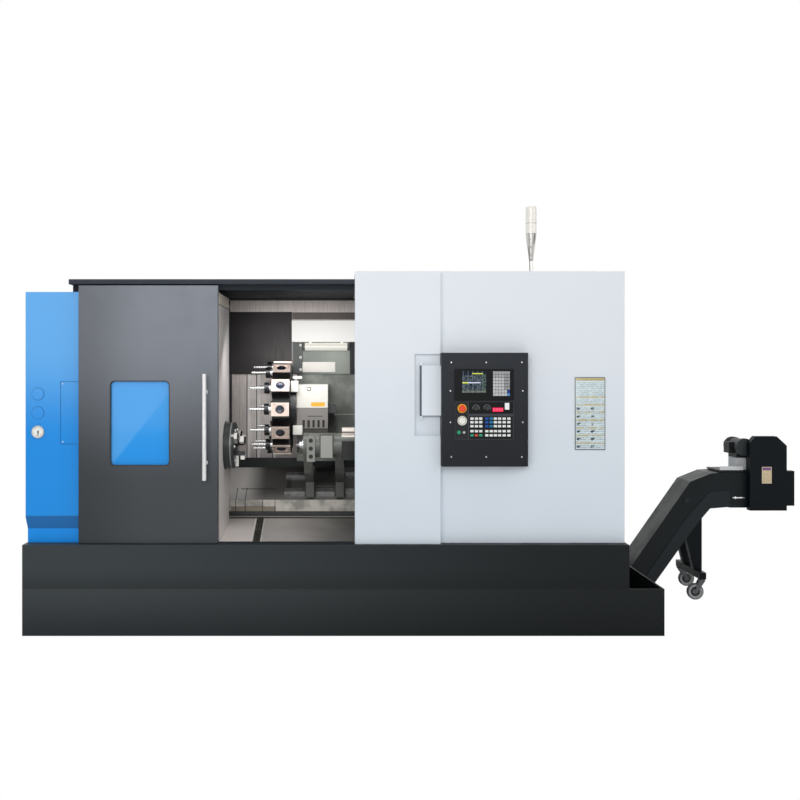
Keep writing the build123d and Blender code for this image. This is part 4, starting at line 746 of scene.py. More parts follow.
# %% [markdown]
# ## Tools
# A drill is ground steel with a spiral flute, and its holder's collar is black and knurled. The tools
# all lie along X, so the place along X says which part a point belongs to, and a repeating ramp along
# X gives the knurl and the flute.

# %% Drills and collars
paint = Paint("tool_and_collar")
collar = paint.band(paint.x, -0.5632, -0.5298)
drill = paint.x < -0.5632
ring = paint.grain(0.0008, 2.0, (1, 0.02, 0.02))
flute = (paint.x * 55 + paint.grain(0.02, 1.0) * 0.2) % 1.0
knurl = paint.fade((paint.x * 420) % 1.0, 0.3, 0.7)
steel = paint.mix(ring, tone("C9CACB"), tone("F6F6F4"))
black = paint.mix(knurl, tone("0A0A0B"), tone("26272A"))
colour = paint.mix(collar, steel, black)
tool_finish = paint.finish(
    bump=(ring, 0.15, 0.0003),
    base_color=paint.mix(drill * (flute < 0.32) * 0.5, colour, tone("55585A")),
    roughness=paint.fade(ring, 0.2, 0.8, 0.18, 0.34),
    metallic=0.8 - collar * 0.6,
)
dress(tool_finish, "idle_tools", "live_tool")

# %% [markdown]
# ## Chuck
# The chuck's body is black-oxided steel, turned on a lathe itself, so its face has fine circles. The
# distance from the spindle's axis, times a large number, gives those rings. They stay round from any
# side, where a wave texture would have to be lined up with the axis first. A lighter band round the
# front rim is a painted highlight.

# %% The chuck's body
paint = Paint("black_turned_steel")
radius, angle = paint.polar(paint.y - SPINDLE_Y, paint.z - SPINDLE_Z)
rings = paint.fade((radius * 900) % 1.0, 0.1, 0.9)
colour = paint.mix(rings, tone("1E2121"), tone("383B3B"))
colour = paint.mix(paint.x < -0.871, colour, tone("5E615F"))
# A painted highlight on the front rim.
front_rim_highlight = paint.band(paint.x, -0.775, -0.768) * (radius > 0.15)
chuck_finish = paint.finish(
    bump=(rings, 0.2, 0.0002),
    base_color=paint.mix(front_rim_highlight, colour, tone("8E9293")),
    roughness=paint.fade(paint.grain(0.05), 0.3, 0.7, 0.30, 0.44),
    metallic=0.25,
    specular_ior_level=0.3,
)
dress(chuck_finish, "spindle_chuck")

# %% [markdown]
# ## Jaws
# The three jaws are bright and hard, with a black joint between the base jaw and the top jaw and black
# bolt holes. They slide, but a material is fixed to its own solid, so the rings go with them.

# %% The jaws
paint = Paint("jaw_steel")
radius, angle = paint.polar(paint.y - SPINDLE_Y, paint.z - SPINDLE_Z)
grain = paint.grain(0.0009, 3.0, (0.01, 1, 1))
colour = paint.mix(grain, tone("C9C7C1"), tone("F6F4EE"))
colour = paint.mix(paint.band(paint.x, -0.727, -0.714) * (radius > 0.06), colour, tone("161716"))
colour = paint.mix(radius < 0.075, colour, tone("3C3F3E"))
bolt_ring = paint.band(radius, 0.112, 0.130) * (paint.x > -0.687)
jaw_finish = paint.finish(
    bump=(grain, 0.1, 0.0003),
    base_color=paint.mix(bolt_ring, colour, tone("141414")),
    roughness=paint.fade(grain, 0.2, 0.8, 0.24, 0.38),
    metallic=0.5,
)
dress(jaw_finish, "chuck_jaw_1", "chuck_jaw_2", "chuck_jaw_3")

# %% [markdown]
# ## Door pane
# The pane is toughened sheet with a strong blue film. It is a little see-through, it is painted
# lighter above than below as painted light, and a painted reflection with a slanting edge crosses its
# upper half. A true reflection would move with the camera, and this one has to look the same when it
# is baked, so the painted reflection is part of the film's tone.

# %% The blue pane
paint = Paint("door_pane")
# A painted reflection with a slanting edge.
sheen = paint.fade(paint.z * 0.62 - paint.x * 0.78, 1.86, 1.885)
# Painted light: lighter above than below.
lit = paint.mix(paint.fade(paint.z, 1.12, 1.66), tone("1FA0FA"), tone("3FAEFC"))
pane_finish = paint.finish(
    base_color=paint.mix(sheen, lit, tone("52B2FF")),
    roughness=paint.fade(paint.grain(0.2), 0.3, 0.7, 0.05, 0.10),
    alpha=0.86,
    coat_weight=0.3,
)
dress(pane_finish, "door_window")

# %% [markdown]
# ## Moulded plastic
# Knobs, buttons and the gauge's needle are moulded, with fine pores and a soft shine. All of them are
# one recipe with another colour, and `worn` is the tone that handling brings out here and there.


# %% The moulded parts
def moulded(name, code, rough=0.35, worn="202020"):
    """Moulded plastic with a fine texture."""
    paint = Paint(name)
    pores = paint.grain(0.0009, 2.0)
    touched = paint.fade(paint.grain(0.02), 0.3, 0.8, 0, 0.12)
    return paint.finish(
        bump=(pores, 0.08, 0.0002),
        base_color=paint.mix(touched, tone(code), tone(worn)),
        roughness=paint.fade(pores, 0.3, 0.7, rough - 0.05, rough + 0.07),
        coat_weight=0.15,
    )


dress(moulded("stop_button_red", "E23A12", 0.28, "F0521A"), "emergency_stop")
dress(moulded("start_button_green", "128A66", 0.32, "1FA57C"), "start_button")
dress(moulded("dial_black", "17181A", 0.4, "303236"), "feed_dial", "spindle_dial")
dress(moulded("needle_black", "101010", 0.4), "gauge_needle")

# %% [markdown]
# ## Handwheel
# The pulse wheel is cream plastic with a groove near its rim and another round its hub. Its middle
# comes from the CAD solid's own box, so the rings stay true if the wheel ever moves. The grooves, the
# outer part and the rim are painted darker as shade.

# %% The handwheel's rings
wheel_low, wheel_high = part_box("handwheel")
wheel_radius = (wheel_high[0] - wheel_low[0]) / 2
paint = Paint("handwheel_cream")
off_x = paint.x - (wheel_low[0] + wheel_high[0]) / 2
off_z = paint.z - (wheel_low[2] + wheel_high[2]) / 2
radius, angle = paint.polar(off_x, off_z)
share = radius * (1 / wheel_radius)
# Painted shade: darker towards the rim.
colour = paint.mix(paint.fade(share, 0.20, 0.95), tone("F6F6EE"), tone("D2D2C8"))
# Painted shade in the two grooves.
colour = paint.mix(paint.band(share, 0.66, 0.74), colour, tone("8E8E86"))
colour = paint.mix(paint.band(share, 0.22, 0.27), colour, tone("A6A69E"))
# The edge past 0.93 of the radius is painted dark as shade.
wheel_finish = paint.finish(
    bump=(paint.fade(share, 0.64, 0.76), 0.3, 0.0008),
    base_color=paint.mix(share > 0.93, colour, tone("77776F")),
    roughness=paint.fade(paint.grain(0.004), 0.3, 0.7, 0.28, 0.40),
    coat_weight=0.15,
)
dress(wheel_finish, "handwheel")
print("handwheel radius:", round(wheel_radius * 1000, 1), "mm")

# %% [markdown]
# ## Casters
# The conveyor's stand rolls on two casters: a zinc fork and a wheel of grey rubber round a bright hub.
# A wheel is one solid, and the distance from its axle tells tyre, web and hub apart.

# %% The casters
WHEEL_Z = 0.061
fork_steel = brushed("caster_zinc", "3A3D40", "6D7073", "z", 0.35, 0.6, STREAK, 0.18)
dress(fork_steel, "caster_fork_front", "caster_fork_rear")
for side, centre_x in (("front", 2.653), ("rear", 2.751)):
    paint = Paint("caster_tyre_" + side)
    radius, angle = paint.polar(paint.x - centre_x, paint.z - WHEEL_Z)
    colour = paint.mix(paint.grain(0.004), tone("2C2E30"), tone("46494C"))
    colour = paint.mix(paint.band(radius, 0.036, 0.052), colour, tone("9B9D9E"))
    colour = paint.mix(paint.band(radius, 0.020, 0.036), colour, tone("121314"))
    colour = paint.mix(radius < 0.014, colour, tone("E2E4E4"))
    rubber = paint.finish(bump=(paint.grain(0.003), 0.2, 0.0004), base_color=colour, roughness=0.5)
    dress(rubber, "caster_wheel_" + side)

# %% [markdown]
# ## Pressure gauge
# The dial has a white face with black marks inside a steel case. The marks could be drawn as boxes,
# but turning the place into an angle and a radius gives all of them at once: the angle repeats forty
# times round, and a mark is the first fifth of each repeat.

# %% The dial's face
GAUGE_X = -2.012
GAUGE_Z = 1.321
MARKS = 40
paint = Paint("gauge_face")
radius, angle = paint.polar(paint.x - GAUGE_X, paint.z - GAUGE_Z)
tick = ((angle * (MARKS / 2 / math.pi) + 0.1) % 1.0) < 0.2
inside = radius < 0.0375
colour = paint.mix(inside, tone("B9BCBE"), tone("F4F4F0"))
colour = paint.mix(tick * paint.band(radius, 0.026, 0.033), colour, tone("1A1A1A"))
gauge_finish = paint.finish(
    bump=(paint.grain(0.001), 0.05, 0.0002),
    base_color=paint.mix(paint.band(radius, 0.0337, 0.0345), colour, tone("303030")),
    roughness=0.22,
    metallic=(1 - inside) * 0.8,
)
dress(gauge_finish, "pressure_gauge")

# %% [markdown]
# ## Signal lamp
# The signal lamp is a milky ribbed tube on a chromed stand. Chrome in a white room shows white with
# darker streaks along its length, which here are part of its tone, because the room is one even
# white and gives the metal nothing dark to show.

# %% The lamp's stand and lens
paint = Paint("chrome_stand")
streak = paint.grain(0.02, 1.0, (1, 1, 0.05))
chrome = paint.finish(
    bump=(paint.grain(0.05), 0.02, 0.0005),
    base_color=paint.mix(paint.fade(streak, 0.4, 0.6), tone("84807C"), tone("D0CECA")),
    roughness=paint.fade(paint.grain(0.03), 0.3, 0.7, 0.10, 0.22),
    metallic=0.85,
)
dress(chrome, "signal_lamp_stand")
paint = Paint("milky_lens")
rib = paint.fade((paint.z * 160) % 1.0, 0.2, 0.8)
lens = paint.finish(
    bump=(rib, 0.3, 0.0008),
    base_color=paint.mix(paint.band(paint.z, 2.742, 2.747), tone("EAE7DF"), tone("BDB8B0")),
    roughness=0.18,
    coat_weight=0.6,
    emission_color=tone("FFF6E6"),
    emission_strength=0.02,
)
dress(lens, "signal_lamp_lens")

# %% [markdown]
# ## Work lamp
# A tube lamp hangs under the white housing. It glows, so it has an emission, which is switched off by
# its colour at the two grey end caps.

# %% The tube and its caps
paint = Paint("lamp_tube")
end_cap = (paint.x < -0.300) + (paint.x > 0.028)
tube = paint.finish(
    bump=(paint.grain(0.01), 0.05, 0.0004),
    base_color=paint.mix(end_cap, tone("B8B8B2"), tone("6A6A66")),
    roughness=0.25,
    coat_weight=0.4,
    emission_color=paint.mix(end_cap, tone("F8F4E8"), tone("000000")),
    emission_strength=0.5,
)
dress(tube, "work_lamp")

# %% [markdown]
# ## Control panel
# The box is dark textured paint with little sheen. It takes the powder coat's recipe with a finer
# peel.

# %% The panel's box
box_coat = powder_coat("panel_box_coat", "202226", "2C2F34", (1.1, 1.85), 0.45, 0.0014, sheen=0.15)
dress(box_coat, "control_box")

# %% [markdown]
# ## The display's screen
# The display unit is a dark case with a lit screen at its left. The screen shows rows of figures, a
# few bright fields and soft keys. A row is a repeating ramp along Z, and noise breaks it into strokes.
# Modelled figures would be far heavier and look no different from a step away.

# %% Rows and fields on the screen
paint = Paint("display_unit_face")
on_screen = paint.window(0.769, 0.926, 1.581, 1.722) * (paint.y > -1.0705)
row = (paint.z * 120) % 1.0
strokes = (row < 0.45) * (paint.grain(0.0035, 2.0, (1, 1, 0.6)) > 0.53)
columns = ((paint.x - 0.775) * 32 % 1.0) < 0.12
case = paint.mix(paint.grain(0.003), tone("0E0F10"), tone("17181A"))
colour = paint.mix(on_screen, case, tone("131A26"))
colour = paint.mix(on_screen * strokes * paint.band(paint.z, 1.600, 1.700) * 0.7, colour, tone("8FA0A8"))
colour = paint.mix(on_screen * columns * 0.5, colour, tone("6F7C88"))
colour = paint.mix(paint.window(0.835, 0.905, 1.702, 1.709), colour, tone("B9C34A"))
colour = paint.mix(paint.window(0.772, 0.808, 1.642, 1.650), colour, tone("C8D24A"))
colour = paint.mix(paint.window(0.808, 0.890, 1.644, 1.649), colour, tone("D8DCF0"))
foot_row = paint.window(0.770, 0.924, 1.583, 1.596)
colour = paint.mix(foot_row * (strokes + 0.3), colour, tone("8C9484"))
for step in range(5):
    height = 1.605 + step * 0.021
    colour = paint.mix(paint.window(0.898, 0.922, height, height + 0.012), colour, tone("3F5348"))
print("display nodes:", len(paint.tree.nodes))

# %% [markdown]
# ## The display's keys
# The keys are already solids that stand out in front of the case, so a limit on Y finds them, and
# their place along X and Z picks grey or blue. Fine noise gives each of them a small dark mark.

# %% Keys beside the screen
keys = (paint.y < -1.0712) * (paint.x > 0.96)
colour = paint.mix(keys, colour, tone("C3C5C6"))
colour = paint.mix(keys * (paint.z > 1.682), colour, tone("A9ABAD"))
colour = paint.mix(keys * paint.window(1.043, 1.09, 1.60, 1.70), colour, tone("9C9EA0"))
colour = paint.mix(keys * paint.window(1.060, 1.09, 1.578, 1.60), colour, tone("1F3F8C"))
colour = paint.mix(keys * paint.window(1.060, 1.09, 1.55, 1.578), colour, tone("5C92C8"))
key_marks = keys * (paint.grain(0.0030, 1.0) > 0.62)
colour = paint.mix(key_marks * 0.6, colour, tone("4A4C4E"))
display_finish = paint.finish(
    bump=(paint.grain(0.001), 0.05, 0.0002),
    base_color=colour,
    roughness=0.35,
    specular_ior_level=0.12,
    emission_color=paint.mix(on_screen, tone("000000"), colour),
    emission_strength=0.35,
)
dress(display_finish, "display_unit")

# %% [markdown]
# ## The operator's board
# Below the display is a moulded board with three recessed fields: dials and a readout, the keys, and
# a strip between them. The first step gives the fields their tones.

# %% The board's fields
paint = Paint("operator_board_face")
colour = paint.mix(paint.grain(0.004), tone("222427"), tone("2C2E32"))
colour = paint.mix(paint.window(0.812, 1.100, 1.446, 1.521), colour, tone("0E0F11"))
colour = paint.mix(paint.window(0.817, 1.095, 1.285, 1.428), colour, tone("131416"))
colour = paint.mix(paint.window(0.812, 1.100, 1.428, 1.446), colour, tone("3C4046"))
rim = 1 - paint.window(0.7235, 1.102, 1.2795, 1.5215)
colour = paint.mix(rim, colour, tone("3E4147"))
print("board nodes:", len(paint.tree.nodes))

# %% [markdown]
# ## The board's keys
# Most keys are white. Two columns are blue for the axes, and three at the foot are green, red and
# green. As on the display, a limit on Y finds the keys and boxes pick their colours.

# %% White and coloured keys
keys = (paint.y < -1.0722) * (paint.z < 1.43) * (paint.x > 0.815)
colour = paint.mix(keys, colour, tone("E6E8E6"))
colour = paint.mix(keys * paint.window(0.915, 0.946, 1.355, 1.425), colour, tone("1B4FA8"))
colour = paint.mix(keys * paint.window(0.944, 0.972, 1.355, 1.425), colour, tone("1F77A8"))
for key_x, code in ((0.833, "2E9A76"), (0.862, "C85440"), (0.890, "3AA07C")):
    key = keys * paint.window(key_x - 0.012, key_x + 0.012, 1.29, 1.316)
    colour = paint.mix(key, colour, tone(code))
key_marks = keys * (paint.grain(0.0032, 1.0) > 0.62)
colour = paint.mix(key_marks * 0.5, colour, tone("55585C"))
print("board nodes:", len(paint.tree.nodes))

# %% [markdown]
# ## Readout, rings and dials
# A red readout glows beside a white key switch, and a yellow ring lies under the stop button. Round
# the two dials run short marks, made as the gauge's are. Then the board is finished.

# %% Readout and marks
proud = paint.y < -1.0715
readout = paint.window(0.966, 1.036, 1.458, 1.486) * proud
digits = (((paint.x - 0.967) * 58) % 1.0 > 0.22) * paint.band(paint.z, 1.463, 1.481)
lit_digits = digits * (paint.grain(0.003) > 0.42)
colour = paint.mix(readout, colour, paint.mix(lit_digits, tone("C01840"), tone("FF5A78")))
colour = paint.mix(paint.window(1.044, 1.074, 1.472, 1.517) * proud, colour, tone("F0F2F2"))
colour = paint.mix(paint.spot(0.769, 1.480, 0.0295) * proud, colour, tone("F2B632"))
colour = paint.mix(paint.spot(0.781, 1.325, 0.0145) * proud, colour, tone("3C3E40"))
for dial_x in (0.860, 0.932):
    radius, angle = paint.polar(paint.x - dial_x, paint.z - 1.482)
    tick = ((angle * (9 / math.pi)) % 1.0) < 0.28
    marks = tick * paint.band(radius, 0.0185, 0.0235) * (paint.z > 1.474)
    colour = paint.mix(marks, colour, tone("A9ADB2"))
divider = paint.window(0.8085, 0.8115, 1.283, 1.518)
board_finish = paint.finish(
    bump=(paint.grain(0.0012), 0.05, 0.0002),
    base_color=paint.mix(divider, colour, tone("4C5056")),
    roughness=0.38,
    specular_ior_level=0.15,
    emission_color=paint.mix(readout, tone("000000"), tone("FF2850")),
    emission_strength=0.5,
)
dress(board_finish, "operator_board")
print("materials:", len(bpy.data.materials))

# %% [markdown]
# ## Modelling by hand
# The small pieces are modelled as one would at the desk: a primitive at its size and place, its edges
# bevelled, its faces inset or pushed in. Everything is deselected first, because the loaded solids are
# still selected. When a piece is done, its place goes into its mesh, so that it sits at the origin.
# The first helpers finish a piece: one rounds its edges with a modifier that is then applied, and the
# other names it, gives it a finish and lets it ride on a body.


# %% Finish a piece
def bevelled(piece, width, segments):
    """Rounds a piece's sharp edges for good."""
    bevel = piece.modifiers.new("bevel", "BEVEL")
    bevel.width = width
    bevel.segments = segments
    bevel.limit_method = "ANGLE"
    bevel.angle_limit = math.radians(30)
    bpy.ops.object.modifier_apply(modifier="bevel")
    bpy.ops.object.shade_smooth_by_angle(angle=math.radians(35))
    return piece


def settle(piece, name, body, material):
    """Names a piece, gives it its finish and lets it ride on a body."""
    piece.name = name
    piece.data.name = name
    piece.data.materials.clear()
    piece.data.materials.append(material)
    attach(piece, body)
    print(name, "on", body, "with", len(piece.data.polygons), "faces")


# %% [markdown]
# ## Discs
# Screw heads, inserts, rods and nuts all start as a cylinder along an axis. A plain cylinder is only
# the start: in edit mode one would click on its end face, inset it and push the inset in. In a script
# the face that lies furthest along the axis is picked instead, and the inset works on that face only.


# %% A disc
TURNS = {"x": (0, math.pi / 2, 0), "y": (math.pi / 2, 0, 0)}


def deselect():
    """Lets go of everything, so that an operator acts on the new piece alone."""
    bpy.ops.object.select_all(action="DESELECT")


def inset_end(piece, axis, side, thickness, depth):
    """Insets a piece's last face along an axis, and pushes the inset in by a depth."""
    bpy.ops.object.mode_set(mode="EDIT")
    bpy.ops.mesh.select_all(action="DESELECT")
    bpy.ops.object.mode_set(mode="OBJECT")
    number = "xyz".index(axis)
    end = max(piece.data.polygons, key=lambda face: side * face.center[number])
    end.select = True
    bpy.ops.object.mode_set(mode="EDIT")
    bpy.ops.mesh.select_mode(type="FACE")
    bpy.ops.mesh.inset(thickness=thickness, depth=depth)
    bpy.ops.object.mode_set(mode="OBJECT")


def puck(centre, radius, depth, axis, width, sides, dish=0.0):
    """A bevelled disc along an axis, dished in its front or left end if asked."""
    deselect()
    bpy.ops.mesh.primitive_cylinder_add(
        vertices=sides, radius=radius, depth=depth, location=centre, rotation=TURNS[axis]
    )
    piece = bpy.context.object
    bpy.ops.object.transform_apply(location=True, rotation=True, scale=True)
    if dish:
        inset_end(piece, axis, -1, radius * 0.45, -dish)
    return bevelled(piece, width, 2)


print("disc axes:", sorted(TURNS))

# %% [markdown]
# ## Repeats
# Screws and inserts repeat. One is modelled at the origin and copied to each place, each copy with its
# own mesh, and then the copies on the same body are joined into one piece. Modelling each again would
# give the same shape with more work, and instances would share a mesh that can't hold its own place.


# %% Copies and joins
def joined(parts):
    """Joins pieces into the first and puts its place into its mesh."""
    deselect()
    for part in parts:
        part.select_set(True)
    bpy.context.view_layer.objects.active = parts[0]
    bpy.ops.object.join()
    bpy.ops.object.transform_apply(location=True, rotation=True, scale=True)
    return parts[0]


def repeated(model, places):
    """Copies of a model, each with its own mesh, moved and turned about X, as one piece."""
    parts = []
    for place, turn in places:
        twin = model.copy()
        twin.data = model.data.copy()
        bpy.context.collection.objects.link(twin)
        twin.location = place
        twin.rotation_euler = (turn, 0, 0)
        parts.append(twin)
    bpy.data.objects.remove(model)
    return joined(parts)


# %% [markdown]
# ## Screws on the front
# The control panel and the service hatch are held by zinc button-head screws. A head is a low disc
# with a bevel of a quarter of its radius, dished where the key goes in.

# %% Screw heads
bright_zinc = brushed("bright_zinc", "B8BABC", "E8E9EA", "x", 0.28, 0.9, 0.0008, 0.03)


def screws(name, body, spots, radius, proud):
    """Button heads that face the front, at a list of (x, y, z) places."""
    head = puck((0, 0, 0), radius, proud, "y", radius * 0.25, 16, proud * 0.4)
    seat = proud / 2 - 0.0005
    places = [((x, y - seat, z), 0) for x, y, z in spots]
    settle(repeated(head, places), name, body, bright_zinc)


PANEL_Y = -1.067
HATCH_Y = -0.962
panel_spots = [(x, PANEL_Y, z) for x in (0.700, 0.926, 1.157) for z in (1.166, 1.779)]
panel_spots += [(x, PANEL_Y, z) for x in (0.694, 1.163) for z in (1.390, 1.594)]
screws("panel_screws", "control_panel", panel_spots, 0.0048, 0.002)
hatch_spots = [(x, HATCH_Y, z) for x in (-1.850, -1.634) for z in (1.256, 1.639)]
screws("hatch_screws", "machine", hatch_spots, 0.004, 0.0015)

# %% [markdown]
# ## Window gasket
# The pane sits in a black rubber gasket, whose corners are round. It could be swept along a path, but
# with the window's own size a cube is quicker: its four edges that run from front to back are bevelled
# until the corners fit the opening.

# %% A block with round corners
deselect()
bpy.ops.mesh.primitive_cube_add(size=1, location=(-1.332, -1.001, 1.3805))
gasket = bpy.context.object
gasket.scale = (0.392, 0.019, 0.559)
bpy.ops.object.transform_apply(location=True, rotation=True, scale=True)
bpy.ops.object.mode_set(mode="EDIT")
bpy.ops.mesh.select_all(action="DESELECT")
bpy.ops.object.mode_set(mode="OBJECT")
corners = gasket.data.vertices
for edge in gasket.data.edges:
    first, second = (corners[number].co for number in edge.vertices)
    edge.select = abs(first.y - second.y) > 0.01
bpy.ops.object.mode_set(mode="EDIT")
bpy.ops.mesh.select_mode(type="EDGE")
bpy.ops.mesh.bevel(offset=0.031, segments=6)
bpy.ops.object.mode_set(mode="OBJECT")
print("gasket block faces:", len(gasket.data.polygons))

# %% [markdown]
# ## From block to ring
# The front and back faces are picked by their normals and inset, and bridging the two insets opens a
# hole between them. Bridging can turn faces inwards, so their normals are made consistent.

# %% The gasket's ring
bpy.ops.object.mode_set(mode="EDIT")
bpy.ops.mesh.select_all(action="DESELECT")
bpy.ops.mesh.select_mode(type="FACE")
bpy.ops.object.mode_set(mode="OBJECT")
for face in gasket.data.polygons:
    face.select = abs(face.normal.y) > 0.9
bpy.ops.object.mode_set(mode="EDIT")
bpy.ops.mesh.inset(thickness=0.006, depth=0)
bpy.ops.mesh.bridge_edge_loops()
bpy.ops.mesh.select_all(action="SELECT")
bpy.ops.mesh.normals_make_consistent(inside=False)
bpy.ops.object.mode_set(mode="OBJECT")
bevelled(gasket, 0.0012, 2)
settle(gasket, "window_gasket", "door", moulded("gasket_rubber", "15181A", 0.5))

# %% [markdown]
# ## Chuck screws
# Six socket screws hold the chuck on the spindle's nose. A head is a disc whose end is inset twice:
# once for the rim, and once, pushed in, for the socket. Six copies stand on a circle round the
# spindle's axis.

# %% The chuck's screws
SCREW_CIRCLE = 0.118
head = puck((0, 0, 0), 0.0125, 0.010, "x", 0.0015, 24)
inset_end(head, "x", 1, 0.0055, 0)
bpy.ops.object.mode_set(mode="EDIT")
bpy.ops.mesh.inset(thickness=0.0003, depth=-0.005)
bpy.ops.object.mode_set(mode="OBJECT")
places = []
for number in range(6):
    turn = math.radians(60 * number)
    across, up = SCREW_CIRCLE * math.cos(turn), SCREW_CIRCLE * math.sin(turn)
    places.append(((-0.7455, SPINDLE_Y + across, SPINDLE_Z + up), 0))
settle(repeated(head, places), "chuck_screws", "spindle", bright_zinc)

# %% [markdown]
# ## Windows in the tool blocks
# Each block shows a dark oval insert with a blue gloss. A sphere would bulge, so it is a dished puck
# squashed to an oval, and twelve copies are turned to the stations round the turret's axis.

# %% The block inserts
INSERT_REACH = 0.3375
paint = Paint("insert_blue_black")
insert_gloss = paint.finish(
    base_color=paint.mix(paint.fade(paint.grain(0.05), 0.3, 0.7), tone("14161B"), tone("333B50")),
    roughness=0.18,
    coat_weight=0.7,
    metallic=0.3,
)
insert = puck((0, 0, 0), 1.0, 0.3, "y", 0.08, 36, 0.10)
insert.scale = (0.0325, 0.022, 0.0285)
bpy.ops.object.transform_apply(location=True, rotation=True, scale=True)
places = []
for number in range(12):
    turn = STATION * number
    across, up = INSERT_REACH * math.cos(turn), INSERT_REACH * math.sin(turn)
    places.append(((-0.449, TURRET_Y + across, TURRET_Z + up), turn + math.pi))
settle(repeated(insert, places), "block_inserts", "turret", insert_gloss)

# %% [markdown]
# ## Cowls of the turret head
# Three white cowls bridge the corner between the head and the turret's flange. They are small plates,
# bolted on after painting, so they can have a whiter coat than the head. A plate is a cube given two
# opposite corners, and a bevel keeps its edges from looking like a cut-out.


# %% The cowls
def slab(low, high, width, segments=3):
    """A bevelled plate between two corners."""
    deselect()
    centre = [(a + b) / 2 for a, b in zip(low, high)]
    bpy.ops.mesh.primitive_cube_add(size=1, location=centre)
    piece = bpy.context.object
    piece.scale = [abs(b - a) for a, b in zip(low, high)]
    bpy.ops.object.transform_apply(location=True, rotation=True, scale=True)
    return bevelled(piece, width, segments)


cowl = slab((-0.380, -0.397, 1.572), (-0.326, -0.3497, 1.652), 0.004)
cowl_top = slab((-0.366, -0.383, 1.668), (-0.300, -0.3497, 1.684), 0.003)
low_cowl = slab((-0.366, -0.392, 1.262), (-0.296, -0.3497, 1.330), 0.004)
cowl_white = powder_coat("cowl_white", "E9E7DF", "F4F2EA", (1.2, 1.7), 0.34, mottle=0.02)
settle(joined([cowl, cowl_top, low_cowl]), "head_cowls", "cross_slide", cowl_white)

# %% [markdown]
# ## Tension bolt
# The conveyor belt's tension is set by a long bolt between the casing and the drive guard. It is a
# bright rod with a nut, and a nut is a cylinder with six sides before its edges are rounded.

# %% The conveyor's tension bolt
rod = puck((3.012, -0.011, 0.757), 0.0065, 0.092, "x", 0.001, 24)
nut = puck((2.985, -0.011, 0.757), 0.0115, 0.012, "x", 0.001, 6)
settle(joined([rod, nut]), "tension_bolt", "machine", bright_zinc)

# %% [markdown]
# ## Reference plate
# The white cabinet carries a thin plate of settings. Its print is made of masks: noise breaks ramps
# into fine strokes, and pairs of broken dark spots look like its small drawings. All of it follows
# `rise` and `run`, which go from 0 to 1 over the plate.

# %% The plate and its small print
PLATE_X = 1.525
PLATE_Z = 1.202
PLATE_WIDTH = 0.200
PLATE_HEIGHT = 0.480
plate_low = (PLATE_X, -0.9725, PLATE_Z)
plate_high = (PLATE_X + PLATE_WIDTH, -0.9692, PLATE_Z + PLATE_HEIGHT)
plate = slab(plate_low, plate_high, 0.0008, 2)
paint = Paint("reference_plate_print")
rise = (paint.z - PLATE_Z) / PLATE_HEIGHT
run = (paint.x - PLATE_X) / PLATE_WIDTH
line = ((rise * 36) % 1.0) < 0.45
strokes = (paint.grain(0.005, 2.0, (0.55, 1, 1.6)) > 0.49) * line
drawings = 0.0
for row in range(6):
    for place in (0.10, 0.56):
        spot_x, spot_z = PLATE_X + PLATE_WIDTH * place, 1.224 + 0.0500 * row
        shape = paint.spot(spot_x, spot_z, 0.0095) + paint.spot(spot_x + 0.012, spot_z + 0.004, 0.006)
        drawings = drawings + shape * (paint.grain(0.008, 1.0) > 0.42)
print("plate nodes:", len(paint.tree.nodes))

# %% [markdown]
# ## The plate's fields
# The ground is pale blue with white rules, its headings are ochre, and a dark border closes it. The
# masks are laid over each other as a printer lays inks, from the palest to the darkest.

# %% Print the plate
rules = (((run * 2) % 1.0) < 0.02) + (((rise * 8.5) % 1.0) < 0.05)
colour = paint.mix(paint.grain(0.05, 2.0), tone("BCCFD6"), tone("D6E2E4"))
colour = paint.mix(strokes * 0.6, colour, tone("5F7480"))
colour = paint.mix(drawings, colour, tone("27343B"))
colour = paint.mix(rules * 0.7, colour, tone("EAF0F0"))
colour = paint.mix(paint.band(rise, 0.955, 0.985), colour, tone("B5A666"))
dashes = paint.grain(0.008, 1.0, (0.5, 1, 1)) > 0.44
for low in (0.715, 0.610, 0.505, 0.400, 0.295, 0.190, 0.085):
    colour = paint.mix(paint.band(rise, low, low + 0.022) * dashes, colour, tone("BDB080"))
border = 1 - paint.band(run, 0.025, 0.975) * paint.band(rise, 0.012, 0.988)
colour = paint.mix(border, colour, tone("515B5E"))
plate_print = paint.finish(base_color=colour, roughness=0.35, coat_weight=0.3)
settle(plate, "reference_plate", "machine", plate_print)

# %% [markdown]
# ## The guard's plate
# A small plate on the conveyor's drive guard is printed in the same way: a violet head over rows of
# strokes on a sand-coloured ground.

# %% The guard's plate
plate = slab((3.168, -0.0615, 0.872), (3.241, -0.0598, 0.997), 0.0004, 2)
paint = Paint("guard_plate_print")
rows = ((paint.z * 95) % 1.0) < 0.4
strokes = rows * (paint.grain(0.005, 1.0, (0.5, 1, 1)) > 0.48)
colour = paint.mix(strokes * 0.6, tone("CDBB97"), tone("8F7B55"))
colour = paint.mix(paint.z > 0.972, colour, tone("6E3F74"))
border = 1 - paint.window(3.172, 3.237, 0.876, 0.993)
colour = paint.mix(border, colour, tone("D9CDB4"))
guard_print = paint.finish(base_color=colour, roughness=0.4, coat_weight=0.2)
settle(plate, "guard_plate", "machine", guard_print)

# %% [markdown]
# ## Floor
# The machine stands on a plain white floor that melts into a white background. More light would bleach
# the machine as well, so only the floor's look to the camera is white: Light Path tells a camera ray
# from the rays that carry light.

